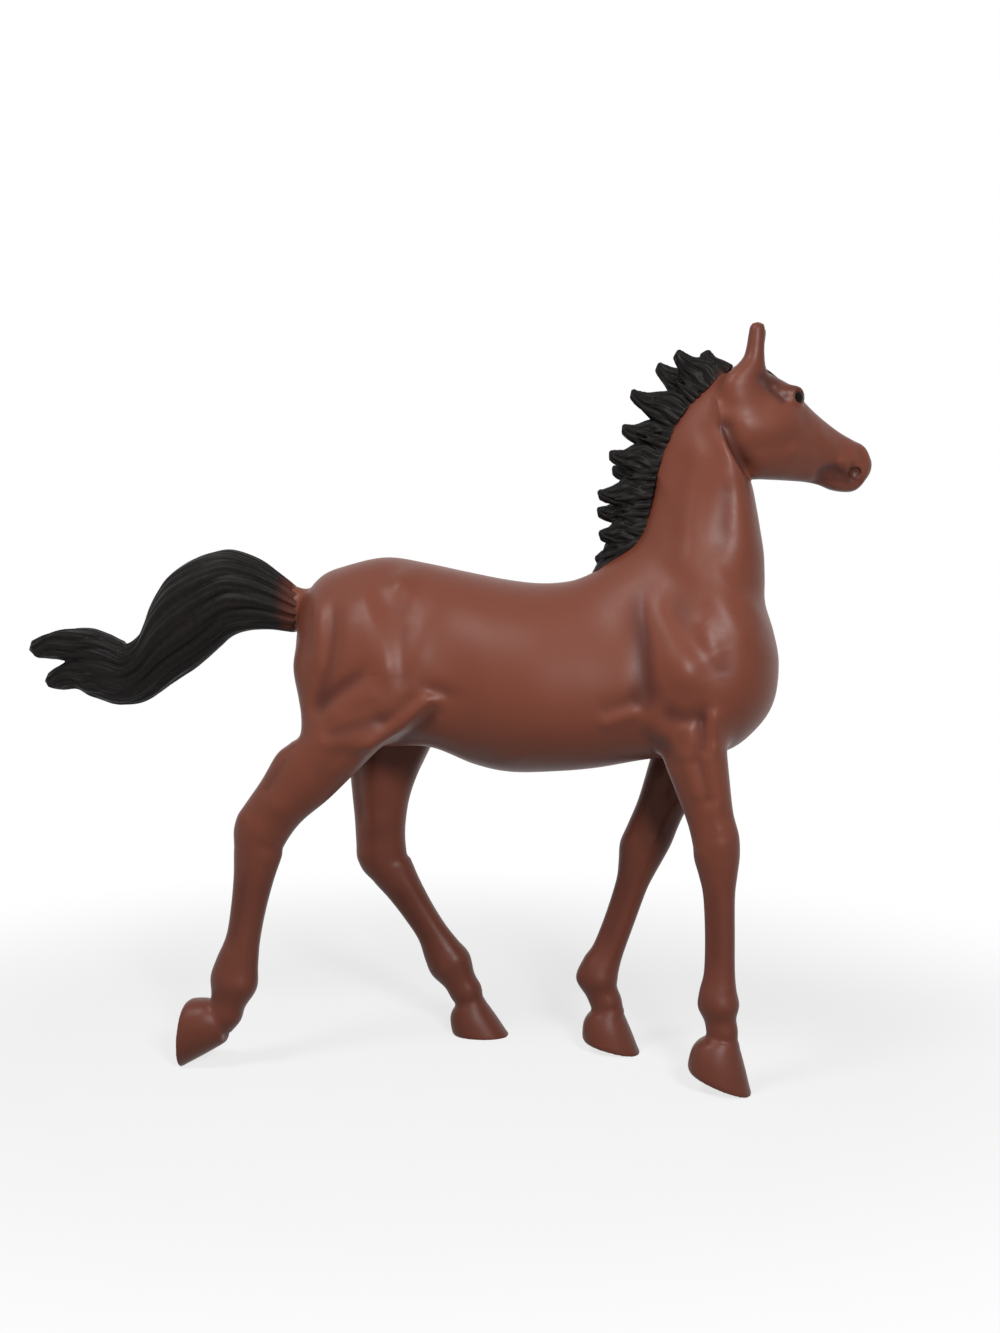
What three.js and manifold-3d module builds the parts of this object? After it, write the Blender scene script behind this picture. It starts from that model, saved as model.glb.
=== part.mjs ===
// A toy horse, moulded in plastic: a walking horse with its head turned to the left,
// a windblown mane and a carried tail. It faces +X, its left side is +Y and +Z is up.
// Each part is a loft of egg-shaped sections. Where two parts meet, the body has a pocket
// of the same shape, wider by the fit clearance, that the other part is glued into.
import * as THREE from "three";
import { mergeVertices } from "three/addons/utils/BufferGeometryUtils.js";
import Module from "manifold-3d";

const wasm = await Module();
wasm.setup();

// Sizes, all in millimetres

const fitClearance = 0.3;
const treadDepth = 0.4;
const cutOverrun = 400;

const trunkLength = 120;
const trunkDepth = 52;
const trunkHalfWidth = 23;
const croupHeight = 128;
const muscleRelief = 1.1;

const neckReach = 34.5;
const neckRise = 50;
const neckHalfWidth = 10.4;

const headLength = 43.5;
const headDepth = 26;
const headHalfWidth = 8.2;
const cheekRadius = 9.5;
const orbitRadius = 3.4;
const eyeRadius = 1.8;
const nostrilRadius = 1.5;
const earLength = 14.5;
const earWidth = 6.8;

const forearmLength = 32;
const foreCannonLength = 38;
const forePasternLength = 10;
const armThickness = 19;
const elbowThickness = 16.8;
const kneeThickness = 11.3;
const foreCannonThickness = 7.2;
const foreFetlockThickness = 10;
const forePasternThickness = 7.6;

const gaskinLength = 37.5;
const hindCannonLength = 36.5;
const hindPasternLength = 13;
const thighThickness = 39;
const stifleThickness = 32.5;
const hockThickness = 13.1;
const hindCannonThickness = 8.3;
const hindFetlockThickness = 11.6;
const hindPasternThickness = 8.5;

const hoofLength = 15.6;
const hoofHeight = 9.5;
const hoofHalfWidth = 6.2;

const tailLength = 75;
const tailDepth = 21.6;
const tailHalfWidth = 7.4;
const hairRidge = 0.5;

const lockLength = 14.5;
const lockDepth = 9.6;
const lockHalfWidth = 2.6;
const forelockLength = 11;
const forelockDepth = 5.2;
const forelockHalfWidth = 2;

const pinRadius = 1.6;
const pinLength = 5;

// Colours and finishes

const coatPlastic = { color: 0x7b4a3c, roughness: 0.42, metalness: 0 };
const hairPlastic = { color: 0x1f1b1b, roughness: 0.55, metalness: 0 };
const eyeGloss = { color: 0x0c0a0a, roughness: 0.08, metalness: 0 };

// Facets: sections between two stations of a table, and sides of a section

const trunkFacets = { steps: 2, sides: 28 };
const headFacets = { steps: 2, sides: 20 };
const legFacets = { steps: 1, sides: 16 };
const hoofFacets = { steps: 1, sides: 18 };
const tailFacets = { steps: 1, sides: 24 };
const lockFacets = { steps: 1, sides: 8 };
const earFacets = { steps: 1, sides: 12 };
const ballFacets = { around: 14, up: 9 };

const degree = Math.PI / 180;
const sideways = new THREE.Vector3(0, 1, 0);
const curveTension = 0.5;

// Solids

function volumeOf(points, index) {
  let sum = 0;
  for (let i = 0; i < index.length; i += 3) {
    const [a, b, c] = [points[index[i]], points[index[i + 1]], points[index[i + 2]]];
    sum += a.dot(b.clone().cross(c));
  }
  return sum / 6;
}

function solidOf(geometry) {
  const bare = geometry.clone();
  bare.deleteAttribute("normal");
  bare.deleteAttribute("uv");
  const merged = mergeVertices(bare);
  return new wasm.Manifold(new wasm.Mesh({
    numProp: 3,
    vertProperties: new Float32Array(merged.attributes.position.array),
    triVerts: new Uint32Array(merged.index.array),
  }));
}

function joined(solids) {
  return solids.reduce((whole, solid) => whole.add(solid));
}

function without(solid, tools) {
  return tools.reduce((rest, tool) => rest.subtract(tool), solid);
}

function meshOf(name, solid, finish) {
  const mesh = solid.getMesh();
  const geometry = new THREE.BufferGeometry();
  geometry.setAttribute("position", new THREE.BufferAttribute(mesh.vertProperties, 3));
  geometry.setIndex(new THREE.BufferAttribute(mesh.triVerts, 1));
  geometry.computeVertexNormals();
  const node = new THREE.Mesh(geometry, new THREE.MeshStandardMaterial(finish));
  node.name = name;
  return node;
}

// A station is one egg-shaped section of a loft: the points of its first and second edge,
// its half-width, how much narrower it is towards the first edge, and how full its sides are.
function station(first, second, half, eggShare = 0, fullness = 1) {
  return { first, second, half, eggShare, fullness };
}

// A loft through the stations, closed by a point at each end. Growing it makes the pocket
// that it fits into. The relief gives the height of the muscles or hair at a point.
function loft(stations, start, end, facets, grow = 0, relief = null) {
  const curveOf = (points) => new THREE.CatmullRomCurve3(points, false, "catmullrom", curveTension);
  const firsts = curveOf(stations.map((s) => s.first));
  const seconds = curveOf(stations.map((s) => s.second));
  const forms = curveOf(stations.map((s) => new THREE.Vector3(s.half, s.eggShare, s.fullness)));
  const rings = (stations.length - 1) * facets.steps + 1;
  const points = [];
  const middles = [];
  for (let ring = 0; ring < rings; ring++) {
    const along = ring / (rings - 1);
    const first = firsts.getPoint(along);
    const second = seconds.getPoint(along);
    const form = forms.getPoint(along);
    const middle = first.clone().add(second).multiplyScalar(0.5);
    const arm = first.clone().sub(middle);
    arm.setLength(arm.length() + grow);
    middles.push(middle);
    for (let side = 0; side < facets.sides; side++) {
      const turn = (2 * Math.PI * side) / facets.sides;
      const spread = Math.sign(Math.sin(turn)) * Math.abs(Math.sin(turn)) ** form.z;
      const out = (form.x + grow) * spread * (1 - form.y * Math.cos(turn));
      const point = middle.clone().addScaledVector(arm, Math.cos(turn)).addScaledVector(sideways, out);
      if (relief) {
        const away = point.clone().sub(middle).normalize();
        point.addScaledVector(away, relief(point, turn, along));
      }
      points.push(point);
    }
  }
  const pushOut = (pole, middle) => pole.clone().add(pole.clone().sub(middle).setLength(grow));
  const startAt = points.push(pushOut(start, middles[0])) - 1;
  const endAt = points.push(pushOut(end, middles[rings - 1])) - 1;
  const index = [];
  const lastRing = (rings - 1) * facets.sides;
  for (let side = 0; side < facets.sides; side++) {
    const next = (side + 1) % facets.sides;
    index.push(startAt, side, next);
    index.push(endAt, lastRing + next, lastRing + side);
    for (let ring = 0; ring < rings - 1; ring++) {
      const low = ring * facets.sides;
      const high = low + facets.sides;
      index.push(low + side, high + side, high + next);
      index.push(low + side, high + next, low + next);
    }
  }
  if (volumeOf(points, index) < 0) index.reverse();
  const geometry = new THREE.BufferGeometry().setFromPoints(points);
  geometry.setIndex(index);
  return solidOf(geometry);
}

function ellipsoid(centre, radii) {
  const ball = new THREE.SphereGeometry(1, ballFacets.around, ballFacets.up);
  ball.scale(...radii);
  ball.translate(...centre);
  return solidOf(ball);
}

// A round pin that lies across the figure, from one Y to another.
function crossPin(x, z, fromY, toY, radius) {
  const pin = new THREE.CylinderGeometry(radius, radius, toY - fromY, ballFacets.around);
  pin.translate(x, (fromY + toY) / 2, z);
  return solidOf(pin);
}

// Trunk and neck
// The trunk's frame: X runs from the buttocks to the breast, Z down from the croup.

function trunkPoint(lengthShare, dropShare, y = 0) {
  return new THREE.Vector3(lengthShare * trunkLength, y, croupHeight - dropShare * trunkDepth);
}

// Along the trunk, back to front: the back line, the belly line, the half-width,
// the egg and the fullness.
const trunkShares = [
  [0.015, 0.18, 0.008, 0.69, 0.5, 0.1, 0.9],
  [0.047, 0.09, 0.042, 0.84, 0.75, 0.1, 0.88],
  [0.093, 0.044, 0.1, 0.91, 0.91, 0.1, 0.86],
  [0.18, 0, 0.19, 0.94, 0.99, 0.1, 0.85],
  [0.267, 0.027, 0.29, 0.913, 0.96, 0.1, 0.85],
  [0.35, 0.065, 0.383, 0.99, 0.93, 0.1, 0.86],
  [0.433, 0.1, 0.458, 1.02, 0.98, 0.1, 0.88],
  [0.508, 0.117, 0.55, 1.01, 1, 0.12, 0.88],
  [0.572, 0.104, 0.636, 0.987, 0.96, 0.16, 0.88],
  [0.617, 0.065, 0.74, 0.94, 0.9, 0.22, 0.9],
  [0.646, 0.02, 0.825, 0.917, 0.88, 0.26, 0.92],
  [0.675, -0.023, 0.904, 0.885, 0.88, 0.3, 0.92],
  [0.703, -0.073, 0.96, 0.78, 0.83, 0.34, 0.92],
  [0.72, -0.13, 0.992, 0.654, 0.76, 0.36, 0.93],
  [0.733, -0.22, 1, 0.48, 0.67, 0.38, 0.94],
];
const buttockShares = [0.002, 0.44];
const withersShares = [0.617, 0.065];

// Along the neck, from the withers up: the crest line and the throat line in neck reach
// and rise from the withers, the half-width, the egg and the fullness.
const neckShares = [
  [0.438, 0.388, 1.293, -0.282, 1.27, 0.38, 0.95],
  [0.464, 0.468, 1.232, -0.142, 1.1, 0.36, 0.96],
  [0.5, 0.544, 1.226, -0.016, 0.99, 0.34, 0.97],
  [0.542, 0.608, 1.217, 0.104, 0.92, 0.32, 0.97],
  [0.597, 0.672, 1.19, 0.218, 0.875, 0.3, 0.97],
  [0.667, 0.736, 1.162, 0.324, 0.84, 0.28, 0.97],
  [0.754, 0.812, 1.125, 0.438, 0.81, 0.24, 0.97],
  [0.84, 0.88, 1.058, 0.548, 0.73, 0.2, 0.97],
  [0.913, 0.915, 1, 0.668, 0.58, 0.1, 0.97],
];
const pollShares = [0.97, 0.8];

const withers = trunkPoint(...withersShares);

function neckPoint(reachShare, riseShare, y = 0) {
  return withers.clone().add(new THREE.Vector3(reachShare * neckReach, y, riseShare * neckRise));
}

// Muscles seen from the side: a ridge or a hollow along a line between two points of the
// trunk's frame, its reach to either side as a share of the depth, and its height.
const muscleShares = [
  { from: [0.237, 0.092], to: [0.245, 0.1], reachShare: 0.055, heightShare: 1.3 },
  { from: [0.19, 0.125], to: [0.262, 0.205], reachShare: 0.045, heightShare: -0.9 },
  { from: [0.163, 0.175], to: [0.229, 0.565], reachShare: 0.06, heightShare: 0.7 },
  { from: [0.322, 0.17], to: [0.298, 0.46], reachShare: 0.05, heightShare: 0.9 },
  { from: [0.112, 0.36], to: [0.082, 0.65], reachShare: 0.04, heightShare: -0.8 },
  { from: [0.74, 0.17], to: [0.753, 0.615], reachShare: 0.045, heightShare: -0.9 },
  { from: [0.76, 0.13], to: [0.838, 0.535], reachShare: 0.06, heightShare: 0.9 },
  { from: [0.8, 0.19], to: [0.872, 0.445], reachShare: 0.04, heightShare: -0.9 },
  { from: [0.872, 0.3], to: [0.885, 0.36], reachShare: 0.07, heightShare: 0.8 },
  { from: [0.915, 0.238], to: [0.96, 0.345], reachShare: 0.05, heightShare: 0.6 },
  { from: [0.682, 0.712], to: [0.737, 0.675], reachShare: 0.04, heightShare: 0.6 },
  { from: [0.864, -0.54], to: [0.866, -0.05], reachShare: 0.07, heightShare: 0.7 },
];

function muscleHeight(point) {
  const across = point.x / trunkLength;
  const down = (croupHeight - point.z) / trunkDepth;
  const slenderness = trunkLength / trunkDepth;
  let height = 0;
  for (const muscle of muscleShares) {
    const [fromX, fromZ] = muscle.from;
    const run = [(muscle.to[0] - fromX) * slenderness, muscle.to[1] - fromZ];
    const gone = [(across - fromX) * slenderness, down - fromZ];
    const whole = run[0] ** 2 + run[1] ** 2;
    const along = Math.min(1, Math.max(0, (gone[0] * run[0] + gone[1] * run[1]) / whole));
    const apart = Math.hypot(gone[0] - along * run[0], gone[1] - along * run[1]);
    height += muscle.heightShare * Math.exp(-((apart / muscle.reachShare) ** 2));
  }
  return height * muscleRelief;
}

function trunkRelief(point, turn) {
  return muscleHeight(point) * Math.abs(Math.sin(turn));
}

function trunkSolid(grow) {
  const trunk = trunkShares.map(([backX, backZ, bellyX, bellyZ, half, egg, fullness]) =>
    station(trunkPoint(backX, backZ), trunkPoint(bellyX, bellyZ), half * trunkHalfWidth, egg, fullness));
  const neck = neckShares.map(([crestX, crestZ, throatX, throatZ, half, egg, fullness]) =>
    station(neckPoint(crestX, crestZ), neckPoint(throatX, throatZ), half * neckHalfWidth, egg, fullness));
  const start = trunkPoint(...buttockShares);
  const end = neckPoint(...pollShares);
  return loft([...trunk, ...neck], start, end, trunkFacets, grow, trunkRelief);
}

// Head
// The head's frame: its origin is the poll pivot, X runs along the face, Y to the head's
// left and Z up. The whole head is then turned to the left.

const headTurn = 35;
const pollPivotShares = { reach: 1.043, rise: 0.908, out: 0.15 };
const pollPivot = neckPoint(
  pollPivotShares.reach, pollPivotShares.rise, pollPivotShares.out * neckHalfWidth);

// Along the head, from behind the jowl to the muzzle: the forehead and nose line, the jaw
// line (down from the pivot), the half-width, the egg and the fullness.
const headShares = [
  [-0.126, 0.096, -0.138, 0.635, 0.63, 0, 0.95],
  [-0.057, -0.04, -0.069, 0.777, 0.88, 0, 0.92],
  [0.023, -0.14, 0.023, 0.854, 0.97, 0, 0.9],
  [0.115, -0.14, 0.126, 0.862, 1, 0, 0.88],
  [0.215, -0.07, 0.23, 0.869, 0.96, -0.05, 0.86],
  [0.31, 0.045, 0.322, 0.877, 0.86, -0.08, 0.85],
  [0.413, 0.185, 0.414, 0.888, 0.72, -0.05, 0.85],
  [0.517, 0.305, 0.506, 0.915, 0.61, 0, 0.85],
  [0.62, 0.41, 0.598, 0.965, 0.56, 0, 0.85],
  [0.712, 0.485, 0.68, 0.985, 0.575, 0, 0.84],
  [0.785, 0.54, 0.74, 0.97, 0.56, 0, 0.86],
  [0.825, 0.64, 0.795, 0.88, 0.42, 0, 0.9],
];
const jowlShares = [-0.17, 0.385];
const muzzleShares = [0.842, 0.77];

// Centres of the paired features: along the head, down from the pivot and out to the side.
const cheekShares = [0.03, 0.44, 0.44];
const orbitShares = [0.24, 0.11, 0.6];
const eyeShares = [0.258, 0.11, 0.73];
const nostrilShares = [0.7, 0.8, 0.52];
const earShares = { right: [0.02, -0.02, 0.42], left: [0.06, -0.01, 0.4] };

// How long, wide and high each of them is for its radius.
const cheekFormShares = [1, 0.5, 1];
const orbitFormShares = [1, 0.65, 0.8];
const eyeFormShares = [1, 0.7, 0.9];
const nostrilFormShares = [1, 0.5, 1.3];

function headPoint(lengthShare, dropShare, outShare = 0, side = 1) {
  return new THREE.Vector3(
    lengthShare * headLength, side * outShare * headHalfWidth, -dropShare * headDepth);
}

// An ear: a cone whose front is hollowed like a cup, leaning outwards and forwards. Up the
// ear: the rise, the back edge, the half-width and how much of the front is left out.
const earStationShares = [
  [0, 0.4, 0.3, 0],
  [0.22, 0.5, 0.36, 0.12],
  [0.45, 0.5, 0.38, 0.3],
  [0.7, 0.4, 0.33, 0.32],
  [0.9, 0.24, 0.22, 0.2],
];
const earLean = { out: 3, right: 8, left: 25 };
const cupShares = { spread: 0.7, depth: 0.16 };

function earSolid(side, grow) {
  const stations = earStationShares.map(([rise, back, half, hollow]) => station(
    new THREE.Vector3((back - 2 * hollow * back) * earWidth, 0, rise * earLength),
    new THREE.Vector3(-back * earWidth, 0, rise * earLength),
    half * earWidth, 0, 1));
  const start = new THREE.Vector3(0, 0, 0);
  const end = new THREE.Vector3(0, 0, earLength);
  const cup = (point, turn) => -Math.exp(-((Math.min(turn, 2 * Math.PI - turn) / cupShares.spread) ** 2))
    * Math.sin(Math.PI * Math.min(1, point.z / earLength)) * cupShares.depth * earWidth;
  const forward = side < 0 ? earLean.right : earLean.left;
  const base = headPoint(...(side < 0 ? earShares.right : earShares.left), side);
  const placed = new THREE.Matrix4()
    .makeRotationFromEuler(new THREE.Euler(-side * earLean.out * degree, forward * degree, 0))
    .setPosition(base);
  return moved(loft(stations, start, end, earFacets, grow, cup), placed);
}

function moved(solid, matrix) {
  return solid.transform(matrix.elements);
}

const headPlace = new THREE.Matrix4().makeRotationZ(headTurn * degree).setPosition(pollPivot);

function sizesOf(formShares, radius, grow) {
  return formShares.map((share) => share * radius + grow);
}

// The head without its ears and hollows, wider by grow.
function headCore(grow) {
  const stations = headShares.map(([noseX, noseZ, jawX, jawZ, half, egg, fullness]) =>
    station(headPoint(noseX, noseZ), headPoint(jawX, jawZ), half * headHalfWidth, egg, fullness));
  const core = loft(stations, headPoint(...jowlShares), headPoint(...muzzleShares), headFacets, grow);
  const bosses = [-1, 1].flatMap((side) => [
    ellipsoid(headPoint(...cheekShares, side), sizesOf(cheekFormShares, cheekRadius, grow)),
    ellipsoid(headPoint(...orbitShares, side), sizesOf(orbitFormShares, orbitRadius, grow)),
  ]);
  return joined([core, ...bosses]);
}

function eyeSolid(side, grow) {
  const eye = ellipsoid(headPoint(...eyeShares, side), sizesOf(eyeFormShares, eyeRadius, grow));
  return moved(eye, headPlace);
}

function headSolid() {
  const ears = [-1, 1].map((side) => earSolid(side, 0));
  const nostrils = [-1, 1].map((side) => ellipsoid(
    headPoint(...nostrilShares, side), sizesOf(nostrilFormShares, nostrilRadius, 0)));
  const sockets = [-1, 1].map((side) => eyeSolid(side, fitClearance));
  const shaped = moved(without(joined([headCore(0), ...ears]), nostrils), headPlace);
  return without(shaped, sockets);
}

// The space that the head takes up in its neighbours.
function headPocket() {
  const ears = [-1, 1].map((side) => earSolid(side, fitClearance));
  return moved(joined([headCore(fitClearance), ...ears]), headPlace);
}

// Legs
// A leg hangs from the point where it leaves the trunk, over three bones. A bone's angle
// is in degrees forward of straight down, and the hoof's is how far its toe points down.
// A root's top and joint are given along, down and out in the trunk's frame.

const foreRootShares = { top: [0.825, 0.53, 0.52], joint: [0.8375, 0.77, 0.62] };
const hindRootShares = { top: [0.2, 0.356, 0.46], joint: [0.18, 0.815, 0.76] };

// Sections down a leg: the bone (0 is inside the trunk), the place along it, how far the
// section turns with the bone, its thickness, the part of it in front of the bone, and
// its width as a share of the thickness.
const foreSectionShares = [
  [0, 0.05, 0, 0.8 * armThickness, 0.5, 0.5],
  [0, 0.5, 0, armThickness, 0.5, 0.58],
  [1, 0, 0.5, elbowThickness, 0.47, 0.7],
  [1, 0.22, 1, 0.9 * elbowThickness, 0.47, 0.74],
  [1, 0.45, 1, 0.79 * elbowThickness, 0.48, 0.78],
  [1, 0.72, 1, kneeThickness, 0.5, 0.8],
  [1, 0.92, 1, kneeThickness, 0.52, 0.82],
  [2, 0.05, 0.6, 0.97 * kneeThickness, 0.5, 0.84],
  [2, 0.17, 1, 0.81 * kneeThickness, 0.52, 0.86],
  [2, 0.3, 1, 1.06 * foreCannonThickness, 0.54, 0.86],
  [2, 0.55, 1, foreCannonThickness, 0.54, 0.82],
  [2, 0.78, 1, 1.04 * foreCannonThickness, 0.5, 0.82],
  [2, 0.9, 1, 0.89 * foreFetlockThickness, 0.45, 0.84],
  [3, 0, 0.5, foreFetlockThickness, 0.46, 0.84],
  [3, 0.35, 1, 1.02 * forePasternThickness, 0.47, 0.9],
  [3, 0.65, 1, forePasternThickness, 0.5, 0.94],
  [3, 1, 1, 0.9 * forePasternThickness, 0.5, 0.95],
];
const hindSectionShares = [
  [0, 0.05, 0, 0.8 * thighThickness, 0.43, 0.4],
  [0, 0.3, 0, 0.97 * thighThickness, 0.44, 0.46],
  [0, 0.66, 0, 0.97 * thighThickness, 0.485, 0.5],
  [1, 0, 0, 0.94 * stifleThickness, 0.42, 0.56],
  [1, 0.2, 0.28, 0.75 * stifleThickness, 0.35, 0.64],
  [1, 0.5, 0.8, 0.53 * stifleThickness, 0.29, 0.77],
  [1, 0.75, 1, 1.05 * hockThickness, 0.33, 0.82],
  [2, 0, 0.5, hockThickness, 0.48, 0.76],
  [2, 0.13, 1, 0.89 * hockThickness, 0.5, 0.82],
  [2, 0.3, 1, 0.74 * hockThickness, 0.5, 0.84],
  [2, 0.5, 1, 1.02 * hindCannonThickness, 0.5, 0.82],
  [2, 0.7, 1, hindCannonThickness, 0.5, 0.82],
  [2, 0.86, 1, 0.88 * hindFetlockThickness, 0.46, 0.8],
  [3, 0, 0.5, hindFetlockThickness, 0.46, 0.8],
  [3, 0.4, 1, 1.03 * hindPasternThickness, 0.48, 0.92],
  [3, 0.7, 1, hindPasternThickness, 0.5, 0.96],
  [3, 1, 1, 0.7 * hindPasternThickness, 0.5, 0.96],
];

const legForm = { eggShare: -0.06, fullness: 0.95 };
const hoofForm = { eggShare: 0.04, fullness: 0.85 };

const foreBones = [forearmLength, foreCannonLength, forePasternLength];
const hindBones = [gaskinLength, hindCannonLength, hindPasternLength];

// A hoof's sections from the coronet down to the sole, in hoof length and height from the
// end of the pastern: the toe edge, the heel edge and the half-width.
const hoofTopShares = [0, 0.1];
const hoofShares = [
  [0.19, 0.2, -0.28, 0.08, 0.62],
  [0.26, 0.06, -0.38, -0.13, 0.78],
  [0.43, -0.32, -0.42, -0.38, 0.93],
  [0.59, -0.7, -0.39, -0.74, 1],
  [0.66, -0.86, -0.35, -0.86, 0.99],
  [0.64, -0.9, -0.32, -0.9, 0.94],
];

// How each leg stands: the bone angles, the hoof's angle, the lean out to the side, and
// the sizes of its bones, of its girth and of its hoof as shares of the usual ones.
const stances = {
  right_foreleg: {
    side: -1, root: foreRootShares, sections: foreSectionShares, bones: foreBones,
    angles: [12.3, 1.9, 5], toeDown: 21, lean: 0.5,
    boneShares: [0.91, 1, 1], girthShare: 1, hoofShare: 1.03,
  },
  left_foreleg: {
    side: 1, root: foreRootShares, sections: foreSectionShares, bones: foreBones,
    angles: [-23.7, -17.8, 18], toeDown: 13, lean: -1.5,
    boneShares: [1.13, 0.98, 1], girthShare: 1.08, hoofShare: 0.95,
  },
  right_hind_leg: {
    side: -1, root: hindRootShares, sections: hindSectionShares, bones: hindBones,
    angles: [-47.2, -10.5, -20], toeDown: 95, lean: 0.8,
    boneShares: [1.01, 1.07, 0.98], girthShare: 1.04, hoofShare: 1.07,
  },
  left_hind_leg: {
    side: 1, root: hindRootShares, sections: hindSectionShares, bones: hindBones,
    angles: [-8.7, 32.7, 26.5], toeDown: 0, lean: 2.6,
    boneShares: [1.03, 0.92, 0.98], girthShare: 1, hoofShare: 0.93,
  },
};

// The joints of a leg, from its top inside the trunk to the end of the pastern, which ends
// at the given height. The bones keep their proportions and are drawn out to reach it.
function jointsOf(stance, endHeight) {
  const outAt = (share) => stance.side * share * trunkHalfWidth;
  const joints = [stance.root.top, stance.root.joint]
    .map(([along, down, out]) => trunkPoint(along, down, outAt(out)));
  const angles = stance.angles.map((angle) => angle * degree);
  const lengths = stance.bones.map((length, bone) => length * stance.boneShares[bone]);
  const reach = lengths.reduce((sum, length, bone) => sum + length * Math.cos(angles[bone]), 0);
  const stretch = (joints[1].z - endHeight) / reach;
  lengths.forEach((length, bone) => {
    const drop = stretch * length * Math.cos(angles[bone]);
    const ahead = stretch * length * Math.sin(angles[bone]);
    const out = stance.side * drop * Math.tan(stance.lean * degree);
    joints.push(joints[joints.length - 1].clone().add(new THREE.Vector3(ahead, out, -drop)));
  });
  return joints;
}

function limbSolid(stance, joints, grow) {
  const boneAngles = [0, ...stance.angles];
  const stations = stance.sections.map(([bone, along, turnShare, size, foreShare, wideShare]) => {
    const thickness = size * (bone > 0 ? stance.girthShare : 1);
    const centre = joints[bone].clone().lerp(joints[bone + 1], along);
    const before = boneAngles[Math.max(bone - 1, 0)];
    const angle = (before + (boneAngles[bone] - before) * turnShare) * degree;
    const fore = new THREE.Vector3(Math.cos(angle), 0, Math.sin(angle));
    const front = centre.clone().addScaledVector(fore, thickness * foreShare);
    const back = centre.clone().addScaledVector(fore, -thickness * (1 - foreShare));
    return station(front, back, thickness * wideShare / 2, legForm.eggShare, legForm.fullness);
  });
  return loft(stations, joints[0], joints[joints.length - 1], legFacets, grow);
}

function hoofSolid(stance) {
  const length = stance.hoofShare * hoofLength;
  const height = stance.hoofShare * hoofHeight;
  const halfWidth = stance.hoofShare * hoofHalfWidth;
  const point = (lengthShare, heightShare) =>
    new THREE.Vector3(lengthShare * length, 0, heightShare * height);
  const stations = hoofShares.map(([toeX, toeZ, heelX, heelZ, half]) => station(
    point(toeX, toeZ), point(heelX, heelZ), half * halfWidth, hoofForm.eggShare, hoofForm.fullness));
  const last = stations[stations.length - 1];
  const sole = last.first.clone().add(last.second).multiplyScalar(0.5);
  const turn = new THREE.Matrix4().makeRotationY(stance.toeDown * degree);
  return moved(loft(stations, point(...hoofTopShares), sole, hoofFacets), turn);
}

const belowGround = new THREE.BoxGeometry(cutOverrun, cutOverrun, cutOverrun);
belowGround.translate(0, 0, -cutOverrun / 2);

// A whole leg, whose hoof presses just into the ground and is trimmed flat there, and the
// pocket for it in the body.
function legOf(stance) {
  const hoof = hoofSolid(stance);
  const joints = jointsOf(stance, -hoof.boundingBox().min[2] - treadDepth);
  const ankle = new THREE.Matrix4().setPosition(joints[joints.length - 1]);
  const whole = joined([limbSolid(stance, joints, 0), moved(hoof, ankle)]);
  return {
    solid: whole.subtract(solidOf(belowGround)),
    pocket: limbSolid(stance, joints, fitClearance),
  };
}

// Tail
// The tail's frame: X runs back from the dock, Z up from it.

const dockShares = [-0.007, 0.26];
const tailShares = [
  [-0.04, 0.093, -0.033, -0.185, 0.42],
  [0.01, 0.25, 0.02, -0.25, 0.56],
  [0.075, 0.42, 0.105, -0.23, 0.68],
  [0.145, 0.58, 0.185, -0.25, 0.8],
  [0.239, 0.685, 0.243, -0.315, 0.9],
  [0.313, 0.657, 0.287, -0.44, 0.97],
  [0.381, 0.57, 0.333, -0.579, 1],
  [0.456, 0.394, 0.38, -0.708, 0.98],
  [0.497, 0.208, 0.427, -0.815, 0.94],
  [0.527, 0.023, 0.473, -0.93, 0.9],
  [0.549, -0.17, 0.52, -1.046, 0.84],
  [0.576, -0.343, 0.567, -1.125, 0.78],
  [0.627, -0.449, 0.62, -1.157, 0.72],
  [0.689, -0.347, 0.684, -1.148, 0.67],
  [0.769, -0.264, 0.76, -1.074, 0.6],
  [0.827, -0.287, 0.813, -0.95, 0.48],
];
const tailTopShares = [-0.06, -0.04];
const tailForkShares = [0.855, -0.62];
const upperTipShares = [
  [0.75, -0.29, 0.75, -0.62, 0.45],
  [0.84, -0.287, 0.827, -0.648, 0.42],
  [0.919, -0.352, 0.907, -0.63, 0.32],
  [0.975, -0.444, 0.96, -0.616, 0.18],
];
const upperTipEnds = [[0.72, -0.46], [0.988, -0.537]];
const lowerTipShares = [
  [0.75, -0.72, 0.75, -1.08, 0.42],
  [0.827, -0.67, 0.807, -0.986, 0.38],
  [0.88, -0.745, 0.867, -1.005, 0.28],
  [0.917, -0.833, 0.915, -0.977, 0.16],
];
const lowerTipEnds = [[0.72, -0.9], [0.932, -0.912]];
const hairRidges = 6;
const hairTwist = 1.5;
const hairFadeShare = 0.25;
const hairFullness = 0.95;

function tailPoint(lengthShare, riseShare) {
  const dock = trunkPoint(...dockShares);
  return new THREE.Vector3(dock.x - lengthShare * tailLength, 0, dock.z + riseShare * tailDepth);
}

function tailRelief(point, turn, along) {
  const fade = Math.min(1, along / hairFadeShare);
  return hairRidge * fade * Math.cos(hairRidges * turn + hairTwist * Math.PI * along);
}

function tailLock(shares, start, end, grow) {
  const stations = shares.map(([topX, topZ, underX, underZ, half]) =>
    station(tailPoint(topX, topZ), tailPoint(underX, underZ), half * tailHalfWidth, 0, hairFullness));
  return loft(stations, tailPoint(...start), tailPoint(...end), tailFacets, grow, tailRelief);
}

function tailSolid(grow) {
  return joined([
    tailLock(tailShares, tailTopShares, tailForkShares, grow),
    tailLock(upperTipShares, ...upperTipEnds, grow),
    tailLock(lowerTipShares, ...lowerTipEnds, grow),
  ]);
}

// Mane and forelock
// The locks spring from the crest. A lock's root is given along the crest from the poll
// down to the withers, its direction in degrees up from straight ahead, and its lean out.

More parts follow.
